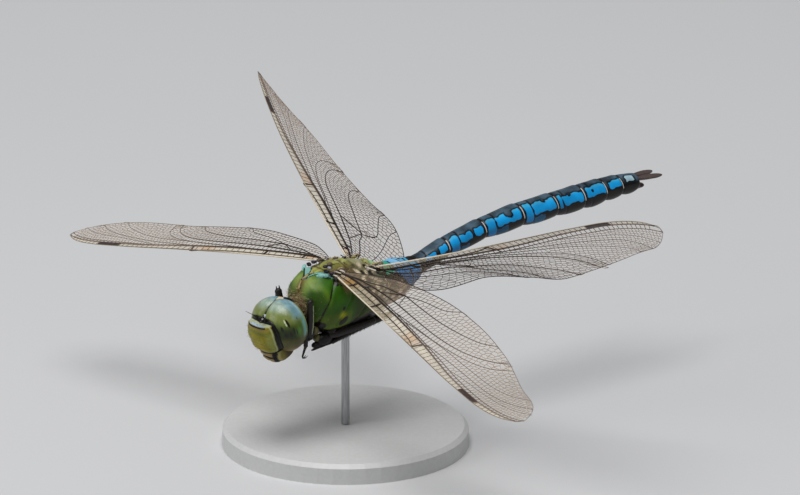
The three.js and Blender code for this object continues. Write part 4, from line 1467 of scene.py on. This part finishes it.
# %% Face
CREST, BROW, SHIELD, LIP = 2.02, 1.05, -0.45, -1.05  # heights of the crest and grooves in the face's axes
face = ball(FACE, 6)
local = places(face)
x, y, z = np.abs(local[:, 0]), local[:, 1], local[:, 2]
front = soft(-y, -0.2, 0.6)
crest = z - CREST
flattened = CREST + 0.15 + (crest - 0.15) * 0.2
local[:, 2] = np.where(crest > 0.15, flattened, z)  # the shelf behind the crest is flat
move_to(face, local)
plates = 0.12 * bell(crest, 0.14) * (1 - soft(x, 2.0, 2.5))
for groove, depth in ((BROW, 0.05), (SHIELD, 0.04), (LIP, 0.07)):
    plates -= depth * bell(z - groove + 0.05 * x**2, 0.12) * (1 - soft(x, 2.3, 2.8))
plates += 0.08 * bell(z - 0.25, 0.6) + 0.1 * bell(z + 1.7, 0.45)
plates -= 0.14 * bell(x, 0.2) * soft(z, 1.9, 2.3) + 0.12 * bell(x, 0.16) * soft(-z, 1.1, 1.6)
dents = 0.05 * bell(np.hypot(x - 1.1, z - 0.35), 0.25) + 0.07 * bell(np.hypot(x - 1.3, z + 0.75), 0.2)
raise_by(face, plates * front - dents * front)
to_eye = inside(local + (0, -2.47, -0.09), GLOBE)
shelf = soft(crest, 0.08, 0.2)
ground = coat(len(local), 0x827A06, [
    (0x86763A, bell(z - 1.75, 0.18)),  # golden below the crest
    (0x6E7026, bell(z - 1.25, 0.28)),  # an olive band
    (0x8E7E10, bell(np.hypot(x - 0.5, z + 1.6), 0.7)),  # warmer on the lip
    (0x84883C, soft(x, 1.6, 2.3) * soft(-z, -1.6, -0.8)),  # greyer at the sides
    (0xA9AE7C, bell(to_eye - 1.145, 0.022)),  # a pale rim, then black beside the eye
    (0xB7AE62, bell(z + 2.2, 0.1)),  # the lip's pale edge
    (0x7A6034, soft(-z, 2.3, 2.42)),  # and brown under it
    (0x9BAABB, shelf),  # the pale blue shelf
    (0x8E9A7C, shelf * soft(x, 1.2, 1.9)),  # greener at its ends
    (0xA2A988, shelf * soft(y, -1.25, -0.95)),  # and at its rear
])
lines = [
    0.1 - np.abs(crest) - FAR * soft(x, 1.9, 2.1),
    0.01 - np.abs(z - LIP + 0.05 * x**2) - FAR * (x < 1.2), 0.13 - np.abs(z + 2.52),
    np.where(z > 2.0, y + 0.75 - 0.15 * x, 2.5 * (1.115 - to_eye)),
]
paint(face, "Ground", ground)
paint(face, "Dark", np.where(y < 1.2, np.max(lines, axis=0), 1.0))
paint(face, "Wander", np.full(len(local), 0.15))
tip(face, FACE)
rng = np.random.default_rng(9)
chosen = (y < -0.6) & (np.abs(z) < 2.3) & (rng.random(len(y)) < 0.03)
roots_at, out = places(face)[chosen], np.array([v.normal for v in face.verts])[chosen]
unrolled = np.stack([0.5 + np.arctan2(local[:, 0], -y) / 4, 0.5 + z / 6], 1)[chosen]
hairs("face_bristles", roots_at, out, unrolled, (0, -0.2, -0.3), 0.3, 0.016, 0x2A2418, 4)
finished(face, "face_plates", cuticle, ["face"])

# %% [markdown]
# Under the lip the jaws close like two doors: a folded pair of mandibles in front, and beside them the
# broad side lobes of the lower lip. Black membrane shows in the gaps.

# %% Jaws
jaws = ball(MOUTH, 5)
local = places(jaws)
x, y, z = np.abs(local[:, 0]), local[:, 1], local[:, 2]
door = x - 1.6 - 0.12 * z
middle = x + FAR * (z > -0.9)
gap = np.min([np.abs(door), middle, np.abs(z + 0.75 + 0.2 * y) + FAR * (x > 1.4)], axis=0)
raise_by(jaws, 0.16 - 0.42 * bell(gap, 0.16))
ground = coat(len(local), 0x8A7440, [
    (0x6E6628, soft(door, 0.0, 0.2)),  # the side lobes are olive
    (0x9C955A, bell(door - 0.42, 0.1)),  # with a pale rim
    (0x57491D, soft(-z, 0.7, 1.3)),  # darker below
    (0x3A3014, soft(y, -0.9, 0.1) * (door > 0)),  # and behind
])
paint(jaws, "Ground", ground)
paint(jaws, "Dark", np.max([0.2 - gap, 0.28 - np.abs(door), -1.35 - z, z - 0.35 - 0.12 * x], axis=0))
paint(jaws, "Wander", np.full(len(local), 0.35))
tip(jaws, MOUTH)
finished(jaws, "jaws", cuticle, ["mouthparts"])

# %% [markdown]
# On the black triangle between eyes and face sit a white knob and three simple eyes, clear as glass
# beads. The feelers beside them are two thick little joints with a bristle.

# %% Beads


def bead(bm, centre, radii, aim=(0, 0, 1), squareness=2.0, rings=10):
    """Adds a small rounded lump whose own Z points along aim, and returns how many vertices it has."""
    part = bmesh.new()
    bmesh.ops.create_uvsphere(part, u_segments=2 * rings, v_segments=rings, radius=1)
    unit = places(part)
    reach = (np.abs(unit) ** squareness).sum(1) ** (-1 / squareness)
    move_to(part, unit * reach[:, None] * radii)
    turn = Vector(aim).to_track_quat("Z", "Y").to_matrix().to_4x4()
    bmesh.ops.transform(part, matrix=Matrix.Translation(centre) @ turn, verts=part.verts)
    append(bm, part)
    count = len(part.verts)
    part.free()
    return count


knob = bmesh.new()
colours = [linear(0xA6ADB4)[:3]] * bead(knob, (0.04, -12.3, -3.68), (0.3, 0.26, 0.26), (0, -0.6, 0.8), 2.6)
colours += [linear(0x2A2622)[:3]] * bead(knob, (0, -12.5, -3.66), (0.07, 0.14, 0.3), (0, -0.6, 0.8))
paint(knob, "Ground", colours)
paint(knob, "Dark", [-FAR] * len(knob.verts))
finished(knob, "vertex_knob", cuticle)

# a clear lens over pale pigment: wet and bright
bead_material, tree, shader = new_material("simple_eye_lens")
place = add(tree, "ShaderNodeTexCoord")
cloud = add(tree, "ShaderNodeTexNoise", {"Vector": place.outputs["Object"], "Scale": 4000.0})
pales = [(0.3, 0xA9B0B4), (0.7, 0xDDE3E6)]
tint = add(tree, "ShaderNodeValToRGB", {"Fac": cloud.outputs["Fac"]}, stops=pales)
tree.links.new(tint.outputs["Color"], shader.inputs["Base Color"])
shader.inputs["Roughness"].default_value = 0.08
shader.inputs["IOR"].default_value = 1.5
OCELLUS = 0.17  # mm; radius of a simple eye
ocelli = bmesh.new()
for centre in ((0, -12.78, -4.0), (0.55, -12.3, -3.85), (-0.55, -12.3, -3.85)):
    bead(ocelli, centre, (OCELLUS, OCELLUS, OCELLUS * 0.8), (centre[0], -0.9, 0.5))
finished(ocelli, "simple_eyes", bead_material)

root, elbow, end = Vector((0.95, -12.8, -4.2)), Vector((1.1, -13.3, -3.6)), Vector((1.55, -14.6, -2.55))
FEELER = [
    (root, 0.17), (root.lerp(elbow, 0.8), 0.16), (elbow, 0.12), (elbow.lerp(end, 0.25), 0.05), (end, 0.02),
]
for side, name in ((1, "left"), (-1, "right")):
    feeler = bmesh.new()
    tubes(feeler, [[((x * side, y, z), radius) for (x, y, z), radius in FEELER]], 10)
    paint(feeler, "Ground", coat(len(feeler.verts), 0x241C16))
    finished(feeler, f"feeler_{name}", vein_material, [f"antenna_{name}"])


# %% [markdown]
# ## Legs
#
# In flight the legs are folded away: the front pair up behind the head, the others along the belly. Each
# has a hip joint, a thick thigh, a thinner shin with rows of spines that make its catching basket, a foot
# of three small joints, and two hooked claws. They are tapering tubes with a swelling at each joint.

# %% Legs
LEGS = {  # hip, knee, ankle and claws on the left
    "fore": [(3.0, -6.9, -8.2), (3.5, -6.5, -2.55), (2.6, -7.4, -9.4), (2.4, -8.0, -10.9)],
    "mid": [(2.9, -2.8, -9.0), (3.7, 4.4, -9.0), (3.0, -2.8, -10.15), (2.6, -6.2, -10.4)],
    "hind": [(1.8, 0.6, -9.9), (2.3, 8.6, -9.8), (1.7, -1.0, -10.75), (1.5, -5.2, -10.9)],
}
THIGH = [(0.0, 0.62), (0.12, 0.72), (0.5, 0.66), (0.9, 0.5), (1.0, 0.42)]  # share of the way, radius
SHIN = [(0.0, 0.4), (0.08, 0.44), (0.2, 0.36), (0.9, 0.3), (1.0, 0.34)]
FOOT = [
    (0.0, 0.24), (0.3, 0.2), (0.33, 0.15), (0.36, 0.19),
    (0.62, 0.17), (0.65, 0.13), (0.68, 0.16), (1.0, 0.14),
]
CLAW = [(0.0, 0.0, 0.12), (0.3, 0.2, 0.1), (0.35, 0.55, 0.08), (0.1, 0.85, 0.03)]  # down, back, radius
SPINES, SPINE_LENGTH = 9, 0.95
LEG_BLACK, PALE_EDGE_AND_HIGHLIGHT, CLAW_BROWN = 0x1B1613, 0x9AA384, 0x2B1A10


def limb(start, end, profile):
    """A straight stretch of a leg as points with radii."""
    return [(start.lerp(end, share), radius) for share, radius in profile]


def spine_lines(start, end, leans):
    """Two rows of spines along a stretch, leaning towards its end."""
    along = (end - start).normalized()
    lines = []
    for lean in leans:
        outward = (Vector(lean) - along * along.dot(Vector(lean))).normalized()
        for k in range(SPINES):
            root = start.lerp(end, 0.12 + 0.8 * k / SPINES) + outward * 0.25
            tip_at = root + (outward * 0.62 + along * 0.78) * SPINE_LENGTH * (1 - 0.45 * k / SPINES)
            lines.append([(root, 0.055), (root.lerp(tip_at, 0.5), 0.035), (tip_at, 0.01)])
    return lines


def raised_knee(leg, hip, knee):
    """Makes the knee that stands up behind the head broad and two-pointed."""
    down = (hip - knee).normalized()
    column = [(knee + down * 2.2, 0.5), (knee + down * 0.9, 0.6), (knee, 0.5), (knee - down * 0.3, 0.42)]
    tubes(leg, [column], 14)
    points = [knee - down * 0.15 + Vector((0, across, 0)) for across in (-0.28, 0.25)]
    tubes(leg, [[(point, 0.2), (point - down * 0.75, 0.03)] for point in points], 8)


for name, corners in LEGS.items():
    fore = name == "fore"
    thick, thin_end = (0.75, 0.5) if fore else (1.0, 1.0)  # the front thighs are thin, most of all at the hip
    thigh = [
        (share, radius * thick * (thin_end + (1 - thin_end) * min(1, share * 3))) for share, radius in THIGH
    ]
    for side, side_name in ((1, "left"), (-1, "right")):
        hip, knee, ankle, toe = (Vector((x * side, y, z)) for x, y, z in corners)
        if fore and side < 0:
            knee += Vector((-0.4, 0, -0.25))
        leg, claws = bmesh.new(), bmesh.new()
        tubes(leg, [limb(hip, knee, thigh), limb(knee, ankle, SHIN), limb(ankle, toe, FOOT)], 14)
        inward = Vector((hip.x * 0.75, hip.y + (1.0 if fore else 0.4), hip.z + 1.1))
        hip_radius = thick * thin_end
        trochanter = [(inward, 0.95 * thick), (inward.lerp(hip, 0.7), 0.9 * thick), (hip, 0.66 * hip_radius)]
        tubes(leg, [trochanter], 14)
        bead(leg, hip, (0.68 * hip_radius, 0.68 * hip_radius, 0.6 * thick), hip - inward)
        bead(leg, knee, (0.55, 0.5, 0.5) if fore else (0.47, 0.44, 0.5), knee - hip)
        if fore and side < 0:
            raised_knee(leg, hip, knee)
        leans = [(0, -1, 0), (side, 0.3, 0)] if fore else [(-0.2 * side, 0.4, -0.6), (side, 0.2, -0.3)]
        tubes(leg, spine_lines(knee, ankle, leans), 4)
        ground = coat(len(leg.verts), LEG_BLACK)
        if fore:  # a pale line runs along the front thighs' outer rear edge: partly the thigh's own pale stripe, partly a painted highlight
            edge = Vector((0.3 * side, 0.4, 0))
            line = [
                (hip.lerp(knee, share) + edge * wide, 0.1 * wide)
                for share, wide in ((0.05, 0.6), (0.3, 1), (0.9, 0.9))
            ]
            ground = np.vstack([ground, coat(tubes(leg, [line], 8), PALE_EDGE_AND_HIGHLIGHT)])
        paint(leg, "Ground", ground)
        limb_name = f"{name}_{side_name}"
        finished(leg, f"limb_{limb_name}", vein_material, [f"leg_{limb_name}"])
        reach = (toe - ankle).normalized()
        for spread in (-0.25, 0.25):
            hook = [
                (toe + reach * down + Vector((spread * back, back, 0)), radius) for down, back, radius in CLAW
            ]
            tubes(claws, [hook], 8)
        paint(claws, "Ground", coat(len(claws.verts), CLAW_BROWN))
        finished(claws, f"claws_{limb_name}", vein_material)

# %% [markdown]
# ## Tail claspers
#
# The male ends in two leaf-shaped claspers and a short plate below them, with which he holds his mate by
# the head. A leaf is a ball pressed flat, widest past its middle, with a keel along it.

# %% Claspers
CLASPERS = {  # root, tip, half width, half thickness
    "cercus_left": ((0.62, 57.3, -4.85), (1.15, 62.2, -5.6), 0.8, 0.3),
    "cercus_right": ((-0.62, 57.3, -4.85), (-1.15, 62.2, -5.6), 0.8, 0.3),
    "epiproct": ((0, 57.0, -6.1), (0, 59.5, -6.65), 0.62, 0.38),
}
for name, (root, end, half_width, half_thickness) in CLASPERS.items():
    leaf = bmesh.new()
    bmesh.ops.create_icosphere(leaf, subdivisions=5, radius=1)
    unit = places(leaf)
    length = (Vector(end) - Vector(root)).length / 2
    along = (unit[:, 2] + 1) / 2
    width = np.interp(along, [0, 0.15, 0.45, 0.75, 0.92, 1], [0.45, 0.5, 0.85, 1.1, 0.95, 0.7])
    shape = np.stack([unit[:, 0] * width * half_width, unit[:, 1] * half_thickness, unit[:, 2] * length], 1)
    shape[:, 1] += 0.13 * bell(unit[:, 0], 0.22) * np.sign(unit[:, 1]) * (1 - along**4)
    move_to(leaf, shape)
    middle = (Vector(root) + Vector(end)) / 2
    aim = (Vector(end) - Vector(root)).normalized()
    across = Vector((1, 0, 0)) - aim * aim.x
    across.normalize()
    turn = Matrix((across, aim.cross(across), aim)).transposed().to_4x4()
    bmesh.ops.transform(leaf, matrix=Matrix.Translation(middle) @ turn, verts=leaf.verts)
    bmesh.ops.recalc_face_normals(leaf, faces=leaf.faces[:])
    lighter = 0.8 * bell(unit[:, 0], 0.25) * soft(unit[:, 1], 0, 0.4)  # along the keel
    paint(leaf, "Ground", coat(len(leaf.verts), 0x4E423E, [(0x9A867A, lighter)]))
    finished(leaf, f"clasper_{name}", vein_material, [name])

# %% [markdown]
# ## Wing roots
#
# A wing turns on a cluster of small hard plates, set in pale membrane, between its strong veins and the
# thorax wall. They are beads of several sizes, the largest at the leading edge.

# %% Wing roots
# the pale grey and cream plates and struts here are partly their own colour and partly painted glints on the
# dark plates
ROOT_PLATES = [  # place ahead, across and above the hinge, radii, colour
    ((0.1, -0.75, 0.1), (0.35, 0.3, 0.25), 0x9A9188), ((0.55, -0.2, 0.2), (0.5, 0.35, 0.25), 0x3A333B),
    ((-0.3, -0.2, 0.25), (0.35, 0.3, 0.25), 0x8E8270), ((0.25, 0.5, 0.2), (0.4, 0.5, 0.25), 0x5A4F58),
    ((-0.35, 0.9, 0.2), (0.5, 0.5, 0.3), 0x8C8348), ((0.5, 1.3, 0.1), (0.35, 0.6, 0.22), 0xB9AFA6),
    ((-0.2, 1.9, 0.1), (0.5, 0.45, 0.25), 0x6B5B45), ((0.9, 0.6, 0.1), (0.35, 0.3, 0.18), 0x201A18),
]
ROOT_RODS = [  # small struts over the plates: from, to, radius, colour
    ((-0.5, -0.75, 0.3), (1.6, -0.5, 0.22), 0.1, 0xD8D0C0),
    ((-0.4, -0.35, 0.38), (1.5, 0.0, 0.3), 0.07, 0x17120F),
    ((-0.3, 0.1, 0.4), (1.3, 0.45, 0.3), 0.08, 0xC9BCA0),
    ((-0.2, 0.8, 0.35), (1.2, 1.0, 0.25), 0.06, 0x17120F),
    ((-0.5, 0.5, 0.4), (-0.1, 1.9, 0.35), 0.09, 0xB9A68A),
]
# the pale grey plate among them is partly a painted glint
SHOULDER_PLATES = [  # beside the roof ahead of the front wings: place, radii, colour
    ((2.0, -1.95, 0.5), (0.5, 0.22, 0.22), 0x1C1A1E),
    ((1.3, -1.5, 0.9), (0.32, 0.42, 0.2), 0x2A2530), ((1.9, -1.25, 0.75), (0.36, 0.24, 0.2), 0x9A9AA6),
    ((1.2, -0.6, 0.95), (0.35, 0.45, 0.25), 0x5C5040), ((2.6, -1.5, 0.2), (0.32, 0.32, 0.28), 0x4A3C40),
]
RIDGE_PLATE = ((2.2, -2.75, 0.1), (0.32, 0.3, 1.05), 0x80B3AA)  # the turquoise ridge before the front wing
HIPS = [  # the front legs' hips are olive, the others' black: place, radii, colour
    ((2.5, -5.4, -7.6), (0.65, 0.5, 0.65), 0x5E5A34), ((2.4, -5.2, -8.8), (0.6, 0.5, 0.6), 0x55522E),
    ((2.6, -3.9, -9.35), (0.8, 1.4, 0.9), 0x14110F), ((2.2, -1.3, -9.5), (0.9, 1.7, 0.75), 0x14110F),
    ((2.4, -4.9, -9.9), (0.55, 1.2, 0.45), 0x14110F), ((2.3, 0.6, -9.9), (0.7, 1.6, 0.6), 0x14110F),
]
roots = bmesh.new()
colours = []
for name, (_, side, hinge, *_) in WINGS.items():
    for (outward, rearward, above), radii, colour in ROOT_PLATES:
        centre = ((hinge[0] + outward) * side, hinge[1] + rearward, hinge[2] + above)
        radii = tuple(0.8 * radius for radius in radii)
        colours += [linear(colour)[:3]] * bead(roots, centre, radii, (0.3 * side, 0.1, 1), 2.4)
    for start, end, radius, colour in ROOT_RODS:
        rod = [
            (((hinge[0] + dx) * side, hinge[1] + dy, hinge[2] + dz), radius) for dx, dy, dz in (start, end)
        ]
        colours += [linear(colour)[:3]] * tubes(roots, [rod], 8)
for side in (1, -1):
    (x, y, z), radii, colour = RIDGE_PLATE
    colours += [linear(colour)[:3]] * bead(roots, (x * side, y, z), radii, (0.72 * side, 0.69, 0.05), 2.6)
    for (x, y, z), radii, colour in SHOULDER_PLATES + HIPS:
        colours += [linear(colour)[:3]] * bead(roots, (x * side, y, z), radii, (0, 0, 1), 2.4)
paint(roots, "Ground", colours)
paint(roots, "Dark", [-0.05] * len(roots.verts))
paint(roots, "Wander", [0.5] * len(roots.verts))
finished(roots, "wing_roots", cuticle)

# %% [markdown]
# ## Display stand
#
# A turned base of white painted metal and a thin rod of brushed steel. The solids' shapes are right, so
# they keep them and only take better finishes. A small steel cup joins the rod to the belly.

# %% Stand
# baked paint: matt, with a faint orange peel
painted_metal, tree, shader = new_material("white_powder_coat")
place = add(tree, "ShaderNodeTexCoord")
peel = add(tree, "ShaderNodeTexNoise", {"Vector": place.outputs["Object"], "Scale": 1800.0, "Detail": 2.0})
whites = [(0.3, 0xC6C6C5), (0.7, 0xCBCBCA)]
tint = add(tree, "ShaderNodeValToRGB", {"Fac": peel.outputs["Fac"]}, stops=whites)
tree.links.new(tint.outputs["Color"], shader.inputs["Base Color"])
bump = add(tree, "ShaderNodeBump", {"Height": peel.outputs["Fac"], "Strength": 0.2, "Distance": 0.00004})
tree.links.new(bump.outputs["Normal"], shader.inputs["Normal"])
shader.inputs["Roughness"].default_value = 0.45

# drawn rod, brushed lengthwise: grey with long soft streaks
steel, tree, shader = new_material("brushed_steel")
place = add(tree, "ShaderNodeTexCoord")
grain_map = add(tree, "ShaderNodeMapping", {"Vector": place.outputs["Object"], "Scale": (1.0, 1.0, 0.04)})
grain = add(tree, "ShaderNodeTexNoise", {"Vector": grain_map.outputs[0], "Scale": 9000.0, "Detail": 2.0})
greys = [(0.3, 0x8E9092), (0.7, 0xB5B7B9)]
tint = add(tree, "ShaderNodeValToRGB", {"Fac": grain.outputs["Fac"]}, stops=greys)
rough = add(tree, "ShaderNodeMapRange", {0: grain.outputs["Fac"], 3: 0.22, 4: 0.42})
tree.links.new(tint.outputs["Color"], shader.inputs["Base Color"])
tree.links.new(rough.outputs[0], shader.inputs["Roughness"])
shader.inputs["Metallic"].default_value = 1.0

for node, material in (("stand_base", painted_metal), ("stand_rod", steel)):
    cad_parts[node].material_slots[0].material = material

cup = bmesh.new()
CUP = [(0.62, -0.6), (0.85, -0.45), (1.0, 0.0), (1.3, 0.5), (1.75, 0.8)]  # radius, height about the belly
profile = [cup.verts.new((radius, 0, height)) for radius, height in CUP]
rim = [cup.edges.new(pair) for pair in zip(profile, profile[1:])]
bmesh.ops.spin(
    cup, geom=profile + rim, cent=(0, 0, 0), axis=(0, 0, 1), angle=2 * math.pi, steps=48, use_merge=True
)
bmesh.ops.remove_doubles(cup, verts=cup.verts, dist=1e-5)
bmesh.ops.recalc_face_normals(cup, faces=cup.faces[:])
bmesh.ops.solidify(cup, geom=cup.faces[:], thickness=0.12)
turn = Matrix.Rotation(-BODY_PITCH, 4, "X")
bmesh.ops.transform(cup, matrix=Matrix.Translation((0, ROD_Y, belly)) @ turn, verts=cup.verts)
finished(cup, "rod_cup", steel)

# %% Update the view layer
bpy.context.view_layer.update()
